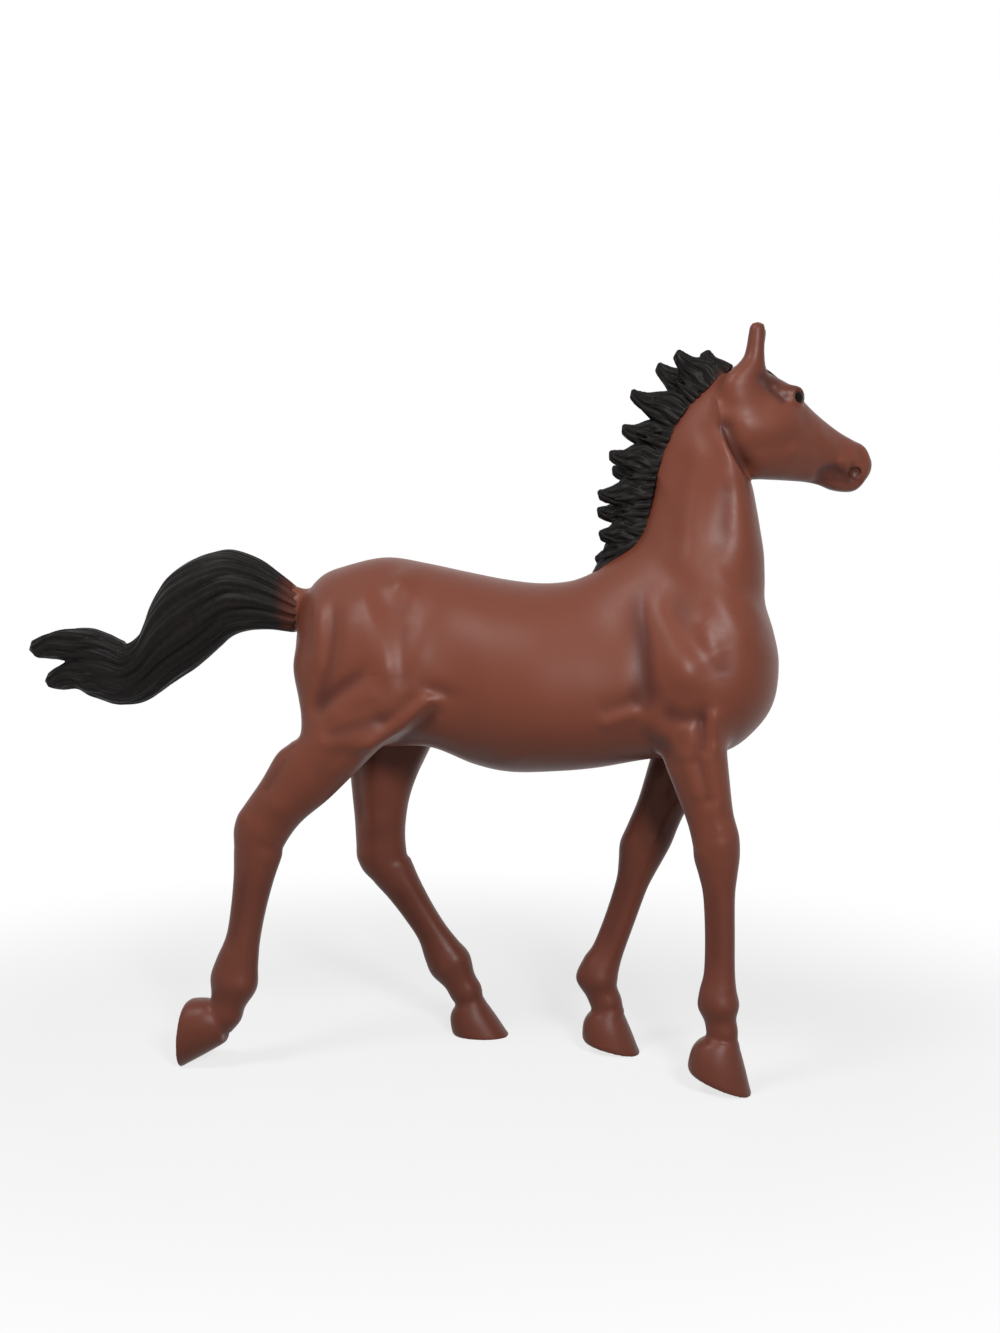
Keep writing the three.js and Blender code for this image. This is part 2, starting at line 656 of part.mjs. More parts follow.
const crestTopShares = [0.97, 0.965];
const crestEndRow = 9;
const crestCurve = new THREE.CatmullRomCurve3([
  neckPoint(...crestTopShares),
  ...neckShares.toReversed().map(([reach, rise]) => neckPoint(reach, rise)),
  ...trunkShares.slice(crestEndRow).reverse().map(([length, drop]) => trunkPoint(length, drop)),
], false, "catmullrom", curveTension);

const lockPlaces = [
  { rootShare: 0.066, heading: 112, lengthShare: 0.64, lean: 4 },
  { rootShare: 0.077, heading: 138, lengthShare: 0.9, lean: -8 },
  { rootShare: 0.131, heading: 147, lengthShare: 1, lean: 6 },
  { rootShare: 0.232, heading: 157, lengthShare: 1.07, lean: -6 },
  { rootShare: 0.345, heading: 166, lengthShare: 0.91, lean: 7 },
  { rootShare: 0.442, heading: 171, lengthShare: 0.9, lean: -8 },
  { rootShare: 0.487, heading: 176, lengthShare: 0.81, lean: 8 },
  { rootShare: 0.557, heading: 184, lengthShare: 0.95, lean: -5 },
  { rootShare: 0.641, heading: 181, lengthShare: 0.9, lean: 6 },
  { rootShare: 0.715, heading: 189, lengthShare: 0.76, lean: -7 },
  { rootShare: 0.798, heading: 203, lengthShare: 0.69, lean: 3 },
];

// Down a lock: how far it has gone, its bend, its depth and its half-width.
const lockShares = [
  [-0.18, 0, 0.8, 0.8],
  [0.12, 0, 0.95, 1],
  [0.4, -0.01, 1, 0.96],
  [0.66, -0.03, 0.84, 0.82],
  [0.86, -0.03, 0.55, 0.62],
  [0.98, 0, 0.3, 0.42],
];
const lockEnds = [[-0.3, 0], [1.02, 0.03]];

function lockSolid(root, heading, lean, length, depth, halfWidth) {
  const ahead = new THREE.Vector3(Math.cos(heading * degree), 0, Math.sin(heading * degree));
  ahead.addScaledVector(sideways, Math.sin(lean * degree)).normalize();
  const rise = new THREE.Vector3(-ahead.z, 0, ahead.x).normalize();
  const at = ([gone, bend]) => root.clone()
    .addScaledVector(ahead, gone * length).addScaledVector(rise, -bend * length);
  const stations = lockShares.map(([gone, bend, depthShare, halfShare]) => {
    const centre = at([gone, bend]);
    const arm = rise.clone().multiplyScalar(depthShare * depth / 2);
    return station(
      centre.clone().add(arm), centre.clone().sub(arm), halfShare * halfWidth, 0, hairFullness);
  });
  return loft(stations, at(lockEnds[0]), at(lockEnds[1]), lockFacets);
}

// The bed that the locks stand on, along the crest: how far down it, and its thickness.
const bedShares = [
  [0.03, 0.25],
  [0.12, 0.45],
  [0.25, 0.6],
  [0.38, 0.72],
  [0.51, 0.82],
  [0.64, 0.8],
  [0.8, 0.6],
  [0.88, 0.36],
  [0.97, 0.1],
];
const bedEggShare = 0.3;

function maneSolid() {
  const locks = lockPlaces.map(({ rootShare, heading, lengthShare, lean }) => lockSolid(
    crestCurve.getPointAt(rootShare), heading, lean, lengthShare * lockLength, lockDepth, lockHalfWidth));
  const stations = bedShares.map(([along, thickShare]) => {
    const root = crestCurve.getPointAt(along);
    const run = crestCurve.getTangentAt(along);
    const away = new THREE.Vector3(run.z, 0, -run.x).multiplyScalar(thickShare * lockDepth);
    const edges = [root.clone().add(away), root.clone().sub(away)];
    return station(...edges, lockHalfWidth, bedEggShare, hairFullness);
  });
  const bed = loft(stations, crestCurve.getPointAt(0), crestCurve.getPointAt(1), lockFacets);
  return joined([bed, ...locks]);
}

const forelockPlace = { lengthShare: 0.04, dropShare: -0.115, heading: -20 };

function forelockSolid() {
  const root = headPoint(forelockPlace.lengthShare, forelockPlace.dropShare);
  const lock = lockSolid(
    root, forelockPlace.heading, 0, forelockLength, forelockDepth, forelockHalfWidth);
  return moved(lock, headPlace);
}

// The pieces

const legs = Object.fromEntries(Object.entries(stances).map(([name, stance]) => [name, legOf(stance)]));
const trunkPocket = trunkSolid(fitClearance);
const head = headSolid();
const headSeat = headPocket();
const tail = tailSolid(0);

const pockets = [headSeat, tailSolid(fitClearance), ...Object.values(legs).map((leg) => leg.pocket)];
const body = without(trunkSolid(0), pockets);

// The body's two halves meet in the middle plane, on three pins of the right half.
const pinShares = [[0.3, 0.35], [0.62, 0.62], [0.83, 0.2]];

function halfBody(side) {
  const keep = new THREE.BoxGeometry(cutOverrun, cutOverrun, cutOverrun);
  keep.translate(0, side * (cutOverrun + fitClearance) / 2, 0);
  const half = body.intersect(solidOf(keep));
  const pins = pinShares.map(([lengthShare, dropShare]) => {
    const { x, z } = trunkPoint(lengthShare, dropShare);
    const clear = side < 0 ? 0 : fitClearance;
    return crossPin(x, z, -pinLength, pinLength + clear, pinRadius + clear);
  });
  return side < 0 ? joined([half, ...pins]) : without(half, pins);
}

const mane = without(maneSolid(), [trunkPocket, headSeat]);
const forelock = without(forelockSolid(), [headSeat]);

const figure = new THREE.Group();
figure.add(
  meshOf("body_shell_right", halfBody(-1), coatPlastic),
  meshOf("body_shell_left", halfBody(1), coatPlastic),
  meshOf("head", head, coatPlastic),
  meshOf("right_eye", eyeSolid(-1, 0), eyeGloss),
  meshOf("left_eye", eyeSolid(1, 0), eyeGloss),
  meshOf("mane", mane, hairPlastic),
  meshOf("forelock", forelock, hairPlastic),
  meshOf("tail", tail, hairPlastic),
);
for (const [name, leg] of Object.entries(legs)) figure.add(meshOf(name, leg.solid, coatPlastic));

// The figure stands on the ground with the middle of its outline over the origin.
const outline = new THREE.Box3().setFromObject(figure);
const middle = outline.getCenter(new THREE.Vector3());
figure.position.set(-middle.x, -middle.y, 0);

const toyHorse = new THREE.Group();
toyHorse.add(figure);

export default toyHorse;
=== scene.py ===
import copy
import math

import bpy
import numpy as np
import openvdb
from bpy.props import FloatProperty, FloatVectorProperty, PointerProperty
from mathutils import Matrix, Vector


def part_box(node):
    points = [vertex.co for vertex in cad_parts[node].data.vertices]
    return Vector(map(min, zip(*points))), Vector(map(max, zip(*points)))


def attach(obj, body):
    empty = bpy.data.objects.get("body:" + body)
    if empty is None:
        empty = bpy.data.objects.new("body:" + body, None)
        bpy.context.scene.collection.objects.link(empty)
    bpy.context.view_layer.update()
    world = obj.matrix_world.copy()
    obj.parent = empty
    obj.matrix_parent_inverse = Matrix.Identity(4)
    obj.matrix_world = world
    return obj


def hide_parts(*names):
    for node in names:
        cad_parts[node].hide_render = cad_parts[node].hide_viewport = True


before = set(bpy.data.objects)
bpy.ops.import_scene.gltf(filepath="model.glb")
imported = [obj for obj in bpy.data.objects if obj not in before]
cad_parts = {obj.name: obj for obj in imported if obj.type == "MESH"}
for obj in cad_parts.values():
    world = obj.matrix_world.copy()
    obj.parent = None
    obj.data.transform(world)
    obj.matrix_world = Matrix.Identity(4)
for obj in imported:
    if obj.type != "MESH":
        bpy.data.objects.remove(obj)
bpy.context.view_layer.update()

bl_info = {
    "name": "Toy Horse",
    "version": (1, 0, 0),
    "blender": (4, 5, 0),
    "location": "3D View > Sidebar > Toy Horse",
    "description": "Models a moulded toy horse round its packed frame",
    "category": "Add Mesh",
}

MM = 0.001
SIDEWAYS = np.array([0.0, 1.0, 0.0])
RIGHT, LEFT = -1, 1


# Sizes and colours that can be changed in the sidebar

def length(label, about, value):
    return FloatProperty(name=label, description=about, default=value * MM, min=0, unit="LENGTH")


def share(label, about, value):
    return FloatProperty(name=label, description=about, default=value, min=0, subtype="FACTOR")


def linear(code):
    """The linear colour of a hex code."""
    parts = [int(code[i:i + 2], 16) / 255 for i in (0, 2, 4)]
    return [p / 12.92 if p <= 0.04045 else ((p + 0.055) / 1.055) ** 2.4 for p in parts]


def colour(label, about, code):
    return FloatVectorProperty(
        name=label, description=about, default=linear(code), min=0, max=1, subtype="COLOR")


class BodySizes(bpy.types.PropertyGroup):
    trunk_length: length("Trunk length", "From the buttocks to the breast", 120)
    trunk_depth: length("Trunk depth", "From the croup to the belly", 52)
    trunk_half: length("Trunk half-width", "Half the barrel's width", 23)
    croup_height: length("Croup height", "From the ground to the croup", 128)
    neck_reach: length("Neck reach", "From the withers forward to the poll", 34.5)
    neck_rise: length("Neck rise", "From the withers up to the poll", 50)
    neck_half: length("Neck half-width", "Half the neck's width", 10.4)
    muscle_height: length("Muscle height", "How high the muscles stand", 0.85)
    leg_blend: length("Leg blend", "How softly a leg grows out of the trunk", 3.2)
    neck_blend: length("Jowl blend", "How softly the jowl meets the neck", 0.7)
    poll_blend: length("Poll blend", "How softly the head meets the neck at the poll", 5)
    cell: length("Skin cell", "Spacing of the skin of trunk and legs", 0.46)
    fine_cell: length("Fine skin cell", "Spacing of the skin of head and hair", 0.24)


class HeadSizes(bpy.types.PropertyGroup):
    head_length: length("Head length", "From behind the jowl to the muzzle", 43.5)
    head_depth: length("Head depth", "From the forehead to the jaw", 26)
    head_half: length("Head half-width", "Half the width at the cheeks", 8.2)
    head_turn: FloatProperty(
        name="Head turn", description="How far the head is turned to the left",
        default=math.radians(35), subtype="ANGLE")
    cheek: length("Cheek radius", "Radius of the round of the jowl", 8.5)
    orbit: length("Orbit radius", "Radius of the bone round the eye", 3.4)
    eye: length("Eye radius", "Radius of an eyeball", 2.1)
    nostril: length("Nostril radius", "Half the height of a nostril", 1.2)
    ear_length: length("Ear length", "From its root to its tip", 14.5)
    ear_width: length("Ear width", "From its front edge to its back edge", 6.8)


class LegSizes(bpy.types.PropertyGroup):
    forearm: length("Forearm", "Length of a forearm", 32)
    fore_cannon: length("Fore cannon", "Length of a fore cannon", 38)
    fore_pastern: length("Fore pastern", "Length of a fore pastern", 10)
    arm_thick: length("Upper arm thickness", "Thickness inside the shoulder", 19)
    elbow_thick: length("Elbow thickness", "Thickness at the elbow", 16.8)
    knee_thick: length("Knee thickness", "Thickness of the knee", 11.3)
    fore_cannon_thick: length("Fore cannon thickness", "Thickness of the cannon", 7.2)
    fore_fetlock_thick: length("Fore fetlock thickness", "Thickness of the fetlock", 10)
    fore_pastern_thick: length("Fore pastern thickness", "Thickness of the pastern", 7.6)
    gaskin: length("Gaskin", "Length of a gaskin", 37.5)
    hind_cannon: length("Hind cannon", "Length of a hind cannon", 36.5)
    hind_pastern: length("Hind pastern", "Length of a hind pastern", 13)
    thigh_thick: length("Thigh thickness", "Thickness of the thigh", 39)
    stifle_thick: length("Stifle thickness", "Thickness at the stifle", 32.5)
    hock_thick: length("Hock thickness", "Thickness of the hock", 13.1)
    hind_cannon_thick: length("Hind cannon thickness", "Thickness of the cannon", 8.3)
    hind_fetlock_thick: length("Hind fetlock thickness", "Thickness of the fetlock", 11.6)
    hind_pastern_thick: length("Hind pastern thickness", "Thickness of the pastern", 8.5)
    hoof_length: length("Hoof length", "From heel to toe", 15.6)
    hoof_height: length("Hoof height", "From coronet to sole", 9.5)
    hoof_half: length("Hoof half-width", "Half the sole's width", 6.2)
    tread: length("Tread", "How far a sole is worn flat", 0.4)


class HairSizes(bpy.types.PropertyGroup):
    tail_length: length("Tail length", "From the dock to the tip", 75)
    tail_depth: length("Tail depth", "Depth of the tail's first bend", 21.6)
    tail_half: length("Tail half-width", "Half the tail's width", 7.4)
    lock_length: length("Lock length", "Length of a full mane lock", 14.5)
    lock_depth: length("Lock depth", "Depth of a mane lock along the crest", 9.6)
    lock_half: length("Lock half-width", "Half a mane lock's width", 2.6)
    forelock_length: length("Forelock length", "Length of the forelock", 11)
    forelock_depth: length("Forelock depth", "Depth of the forelock", 5.2)
    forelock_half: length("Forelock half-width", "Half the forelock's width", 2)
    strand_depth: length("Strand depth", "How deep the grooves between strands are", 0.7)
    seat: length("Seat", "How far hair reaches into the skin that it lies on", 0.4)


class Finishes(bpy.types.PropertyGroup):
    coat: colour("Coat", "Brown of the moulded body", "7B4231")
    # The coat's darker brown: mixed in as painted shade in the hollows and the nostrils, and for
    # the darker forehead, ears and lower legs.
    coat_shade: colour("Coat in hollows", "Brown of the hollows and the lower legs", "54281E")
    hair: colour("Hair", "Black of the mane and tail", "0B0908")
    # The grey of the painted sheen on the strands' ridges.
    hair_shine: colour("Worn hair", "Grey of the strands' ridges", "231D1C")
    fringe: colour("Fringe", "Thin paint where hair meets the coat", "4C261B")
    eye: colour("Eye", "Black of the eyes", "040303")
    coat_rough: share("Coat roughness", "Roughness of the coat", 0.42)
    hair_rough: share("Hair roughness", "Roughness of the painted hair", 0.45)


class StageSettings(bpy.types.PropertyGroup):
    floor: colour("Floor", "Colour of the floor", "FDFDFD")
    floor_below: colour("Floor bounce", "What the floor throws back at the figure", "4A4846")
    distance: length("Camera distance", "From the camera to what it looks at", 480)
    lens: FloatProperty(name="Lens", description="Focal length in millimetres", default=51.85)
    lamp: FloatProperty(
        name="Lamp", description="Power of the front lamp", default=2.2, unit="POWER")
    fill: FloatProperty(
        name="Fill", description="Power of the high lamp", default=1.2, unit="POWER")
    sky: share("Sky", "Strength of the light from all round", 0.05)


# Surfaces

# How many rings and how many points round each loft has.
GRIDS = {
    "trunk": (260, 128), "nape": (80, 64), "sleeve": (40, 64), "limb": (220, 72),
    "hoof": (60, 96), "head": (160, 112), "ear": (100, 64), "lock": (90, 96), "bed": (160, 64),
    "mane edge": (120, 64), "tail": (240, 200), "tip": (110, 200),
}
BALL_RINGS, BALL_SIDES = 48, 64

# How softly each form is joined to the rest or carved from it.
BLENDS = {
    "nape": 3 * MM, "sleeve": 3 * MM, "hoof": 1.2 * MM, "cheek": 1.2 * MM, "orbit": 1.2 * MM,
    "nostril": 0.5 * MM, "ear": 3 * MM, "lock": 0.3 * MM, "strand": 0.15 * MM,
    "mane edge": 0.5 * MM, "tip": 0.8 * MM,
}


def through(rows, count):
    """The rows of a table joined by Catmull-Rom curves and read at count even steps.

    Between two rows, the value is the cubic whose slope at each row is half the difference
    of its neighbours, with the table carried on in a straight line past both ends.
    """
    rows = np.asarray(rows, float)
    ends = np.vstack([2 * rows[0] - rows[1], rows, 2 * rows[-1] - rows[-2]])
    place = np.linspace(0, len(rows) - 1, count)
    row = np.minimum(place.astype(int), len(rows) - 2)
    t = (place - row)[:, None]
    a, b, c, d = (ends[row + i] for i in range(4))
    return 0.5 * (2 * b + (c - a) * t + (2 * a - 5 * b + 4 * c - d) * t ** 2
                  + (3 * b - a - 3 * c + d) * t ** 3)


def unit(vectors):
    return vectors / np.maximum(np.linalg.norm(vectors, axis=-1, keepdims=True), 1e-12)


def loft(rows, start, end, rings, sides, relief=None):
    """A closed skin round a run of egg-shaped sections.

    A row holds a section's first and second edge point, half-width, egg and fullness. At
    turn a, the skin lies at middle + arm cos(a) + sideways out, where the arm runs from the
    middle to the first edge and out = half sign(sin a) |sin a|^fullness (1 - egg cos a).
    The relief moves it away from the middle. A point closes each end.
    """
    row = through(rows, rings)
    first, second, half, egg, full = row[:, :3], row[:, 3:6], row[:, 6:7], row[:, 7:8], row[:, 8:9]
    turn = np.linspace(0, 2 * np.pi, sides, endpoint=False)[None, :]
    sin, cos = np.sin(turn), np.cos(turn)
    middle = ((first + second) / 2)[:, None, :]
    out = half * np.sign(sin) * np.abs(sin) ** full * (1 - egg * cos)
    points = middle + (first[:, None, :] - middle) * cos[..., None] + SIDEWAYS * out[..., None]
    if relief:
        along = np.linspace(0, 1, rings)[:, None]
        points = points + unit(points - middle) * relief(turn, along)[..., None]
    return closed(points, start, end)


def closed(points, start, end):
    """The faces of a grid of rings, with a fan of triangles to a point at each end."""
    rings, sides = points.shape[:2]
    low = np.arange(rings - 1)[:, None] * sides
    side = np.arange(sides)[None, :]
    after = (side + 1) % sides
    quads = np.stack([low + side, low + sides + side, low + sides + after, low + after], -1)
    last, tip = (rings - 1) * sides, rings * sides
    side, after = side[0], after[0]
    fans = np.vstack([
        np.stack([np.full(sides, tip), side, after], -1),
        np.stack([np.full(sides, tip + 1), last + after, last + side], -1)])
    return np.vstack([points.reshape(-1, 3), start, end]), quads.reshape(-1, 4), fans


def ball(centre, radii):
    """A ball drawn out along the axes, in rings of the same latitude.

    A point is centre + radii (cos b cos a, cos b sin a, sin b) at latitude b and turn a.
    """
    rise = np.linspace(-np.pi / 2, np.pi / 2, BALL_RINGS + 2)[1:-1, None]
    turn = np.linspace(0, 2 * np.pi, BALL_SIDES, endpoint=False)[None, :]
    points = np.stack([np.cos(rise) * np.cos(turn), np.cos(rise) * np.sin(turn),
                       np.sin(rise) + 0 * turn], -1)
    low, high = (centre + np.array([0, 0, z]) * radii for z in (-1, 1))
    return closed(centre + points * radii, low, high)


def placed(points, matrix):
    """Points of a matrix's own frame, as they lie outside it."""
    matrix = np.array(matrix)
    return points @ matrix[:3, :3].T + matrix[:3, 3]


def moved(surface, matrix):
    points, quads, fans = surface
    return placed(points, matrix), quads, fans


def soft_least(a, b, blend):
    """The lesser of two distances, rounded off where they differ by less than the blend."""
    blend = np.maximum(blend, 1e-9)
    mix = np.clip(0.5 + 0.5 * (b - a) / blend, 0, 1)
    return b + (a - b) * mix - blend * mix * (1 - mix)


class Clay:
    """Distances to a skin on an even grid of cells, below nought inside it.

    The block knows distances up to its reach, and starts empty.
    """

    # How many times the points of a skin are moved onto it.
    settling = 2

    def __init__(self, low, high, cell, reach):
        self.cell, self.reach = cell, reach
        self.low = np.floor(np.asarray(low) / cell).astype(int)
        self.high = np.ceil(np.asarray(high) / cell).astype(int)
        self.depth = np.full(self.high - self.low, reach, np.float32)

    def empty(self):
        """An empty block of the same grid."""
        block = copy.copy(self)
        block.depth = np.full_like(self.depth, self.reach)
        return block

    def distances(self, surface):
        """The part of the block that a closed surface reaches, and its distances there."""
        points, quads, fans = surface
        rim = int(self.reach / self.cell) + 2
        low = np.clip(np.floor(points.min(0) / self.cell).astype(int) - rim, self.low, self.high)
        high = np.clip(np.ceil(points.max(0) / self.cell).astype(int) + rim, low, self.high)
        grid = openvdb.FloatGrid.createLevelSetFromPolygons(
            points.astype(np.float32), triangles=fans.astype(np.uint32),
            quads=quads.astype(np.uint32), halfWidth=self.reach / self.cell,
            transform=openvdb.createLinearTransform(voxelSize=self.cell))
        part = np.full(high - low, self.reach, np.float32)
        if part.size:
            grid.copyToArray(part, ijk=tuple(int(v) for v in low))
        place = tuple(slice(a, b) for a, b in zip(low - self.low, high - self.low))
        return place, part

    def join(self, surface, blend=0.0):
        place, part = self.distances(surface)
        self.depth[place] = soft_least(self.depth[place], part, blend)

    def carve(self, surface, blend=0.0):
        place, part = self.distances(surface)
        self.depth[place] = -soft_least(-self.depth[place], part, blend)

    def merge(self, other, blend):
        """Joins another block of the same grid, with a blend for each layer of cells."""
        self.depth = soft_least(self.depth, other.depth, blend)

    def cut(self, other, seat):
        """Takes away another block of the same grid, all but the seat of its edge."""
        self.depth = np.maximum(self.depth, -other.depth - seat)

    def read(self, points):
        """The distance at any point, by trilinear interpolation between the cells."""
        place = points / self.cell - self.low
        corner = np.clip(np.floor(place).astype(int), 0, np.array(self.depth.shape) - 2)
        x, y, z = (place - corner).T
        i, j, k = corner.T
        value = 0
        for a, wx in ((0, 1 - x), (1, x)):
            for b, wy in ((0, 1 - y), (1, y)):
                for c, wz in ((0, 1 - z), (1, z)):
                    value = value + self.depth[i + a, j + b, k + c] * wx * wy * wz
        return value

    def slope(self, points):
        """The unit direction in which the distance grows, from differences over a cell."""
        steps = np.eye(3) * self.cell
        return unit(np.stack([self.read(points + s) - self.read(points - s) for s in steps], -1))

    def skin(self):
        """The points and quads of the surface where the distance is nought. Each settling
        step moves the points along the slope by the distance that is read there."""
        grid = openvdb.FloatGrid(float(self.reach))
        grid.copyFromArray(self.depth, ijk=tuple(int(v) for v in self.low))
        grid.transform = openvdb.createLinearTransform(voxelSize=self.cell)
        points, _, quads = grid.convertToPolygons(isovalue=0.0, adaptivity=0.0)
        points = points.astype(float)
        for _ in range(self.settling):
            points = points - self.slope(points) * self.read(points)[:, None]
        return points, outward(points, quads.astype(np.int64))


def outward(points, quads):
    """The quads turned so that they face out, judged by the volume that they enclose."""
    a, b, c, d = (points[quads[:, i]] for i in range(4))
    volume = np.einsum("ij,ij->", a, np.cross(b, c)) + np.einsum("ij,ij->", a, np.cross(c, d))
    return quads if volume > 0 else quads[:, ::-1]


# The share of its length over which a long stroke fades at each end.
STROKE_FADE = 0.25


def near(points, line, right, left, left_power=2):
    """The closeness of points to a line in a plane: exp(-(distance/reach)^power), where
    the reach and the power can be others on the left hand. A long line fades to nought at
    both ends, and one that is short beside its reach has round ends."""
    line = np.asarray(line, float)
    if len(line) == 1:
        return np.exp(-((points - line[0]) ** 2).sum(1) / right ** 2)
    lengths = np.linalg.norm(np.diff(line, axis=0), axis=1)
    whole, gone = lengths.sum(), 0.0
    nearest = np.full(len(points), np.inf)
    place, hand = np.zeros(len(points)), np.zeros(len(points))
    for a, b, size in zip(line, line[1:], lengths):
        run, away = (b - a) / size, points - a
        t = np.clip(away @ run, 0, size)
        apart = np.linalg.norm(away - t[:, None] * run, axis=1)
        closer = apart < nearest
        nearest = np.where(closer, apart, nearest)
        place = np.where(closer, (gone + t) / whole, place)
        hand = np.where(closer, run[0] * away[:, 1] - run[1] * away[:, 0], hand)
        gone += size
    long = np.clip(STROKE_FADE * whole / min(right, left) - 0.5, 0, 1)
    fade = 1 - long * (1 - smooth(np.minimum(place, 1 - place) / STROKE_FADE))
    power = np.where(hand > 0, 2, left_power)
    return np.exp(-(nearest / np.where(hand > 0, right, left)) ** power) * fade


def smooth(t):
    t = np.clip(t, 0, 1)
    return t * t * (3 - 2 * t)


# Trunk and neck

def trunk_point(body, along, drop, out=0.0):
    """A point in the trunk's frame: shares of its length and depth from the croup."""
    return np.array([along * body.trunk_length, out, body.croup_height - drop * body.trunk_depth])


# Along the trunk, back to front: the back line, the belly line, the half-width,
# the egg and the fullness.
TRUNK = [
    (0.005, 0.28, 0.003, 0.6, 0.27, 0.1, 0.92),
    (0.015, 0.18, 0.009, 0.69, 0.49, 0.1, 0.9),
    (0.047, 0.09, 0.042, 0.84, 0.75, 0.1, 0.88),
    (0.093, 0.044, 0.1, 0.89, 0.91, 0.1, 0.86),
    (0.18, 0, 0.19, 0.91, 0.99, 0.2, 0.85),
    (0.267, 0.027, 0.29, 0.91, 0.96, 0.2, 0.85),
    (0.35, 0.065, 0.383, 0.99, 0.93, 0.1, 0.86),
    (0.433, 0.1, 0.458, 1.02, 0.98, 0.1, 0.88),
    (0.508, 0.117, 0.55, 1.01, 1, 0.12, 0.88),
    (0.572, 0.104, 0.636, 0.987, 0.96, 0.16, 0.88),
    (0.617, 0.065, 0.74, 0.94, 0.9, 0.22, 0.9),
    (0.646, 0.02, 0.825, 0.917, 0.88, 0.26, 0.92),
    (0.675, -0.023, 0.904, 0.885, 0.88, 0.3, 0.92),
    (0.703, -0.073, 0.96, 0.78, 0.83, 0.34, 0.92),
    (0.72, -0.13, 0.992, 0.654, 0.76, 0.36, 0.93),
    (0.733, -0.22, 1, 0.48, 0.67, 0.38, 0.94),
]

# The point that closes the trunk behind, the withers that the neck is measured from, and
# the row of the trunk's table where the crest of the mane ends.
BUTTOCK = (0.002, 0.44)
WITHERS = (0.617, 0.065)
CREST_END = 10

# Along the neck, from the withers up: the crest line and the throat line in neck reach
# and rise from the withers, the half-width, the egg and the fullness.
NECK = [
    (0.438, 0.388, 1.293, -0.282, 1.27, 0.38, 0.95),
    (0.464, 0.468, 1.232, -0.142, 1.1, 0.36, 0.96),
    (0.5, 0.544, 1.226, -0.016, 0.99, 0.34, 0.97),
    (0.542, 0.608, 1.217, 0.104, 0.92, 0.32, 0.97),
    (0.597, 0.672, 1.19, 0.218, 0.875, 0.3, 0.97),
    (0.667, 0.736, 1.162, 0.324, 0.84, 0.28, 0.97),
    (0.754, 0.812, 1.125, 0.438, 0.81, 0.24, 0.97),
    (0.84, 0.88, 1.058, 0.548, 0.73, 0.2, 0.97),
    (0.913, 0.915, 1, 0.668, 0.58, 0.1, 0.97),
]
POLL = (0.97, 0.8)

# The nape, which fills the neck up to the edge of the mane: its top line, and its
# half-width in neck half-widths. Then the points that close it, how far its bottom line
# lies forward of its top line and below it, and its fullness.
NAPE = [
    (0.9, 0.965, 0.4),
    (0.75, 0.87, 0.45),
    (0.62, 0.765, 0.45),
    (0.525, 0.63, 0.4),
    (0.47, 0.51, 0.35),
]
NAPE_ENDS = ((1.03, 0.87), (0.52, 0.36))
NAPE_DEPTH, NAPE_FULLNESS = 0.2, 0.9


def neck_point(body, reach, rise, out=0.0):
    """A point in the neck's frame: shares of its reach and rise from the withers."""
    step = np.array([reach * body.neck_reach, 0, rise * body.neck_rise])
    return trunk_point(body, *WITHERS, out) + step


def trunk_and_neck(body):
    """A loft from the buttocks along the back and up the neck to the poll."""
    trunk = [(*trunk_point(body, a, b), *trunk_point(body, c, d), half * body.trunk_half,
              egg, full) for a, b, c, d, half, egg, full in TRUNK]
    neck = [(*neck_point(body, a, b), *neck_point(body, c, d), half * body.neck_half,
             egg, full) for a, b, c, d, half, egg, full in NECK]
    start, end = trunk_point(body, *BUTTOCK), neck_point(body, *POLL)
    return loft(trunk + neck, start, end, *GRIDS["trunk"])


def nape(body):
    """A slim loft along the crest near the poll, from its top line down into the neck."""
    rows = [(*neck_point(body, reach, rise),
             *neck_point(body, reach + NAPE_DEPTH, rise - NAPE_DEPTH),
             half * body.neck_half, 0, NAPE_FULLNESS) for reach, rise, half in NAPE]
    return loft(rows, *(neck_point(body, *end) for end in NAPE_ENDS), *GRIDS["nape"])


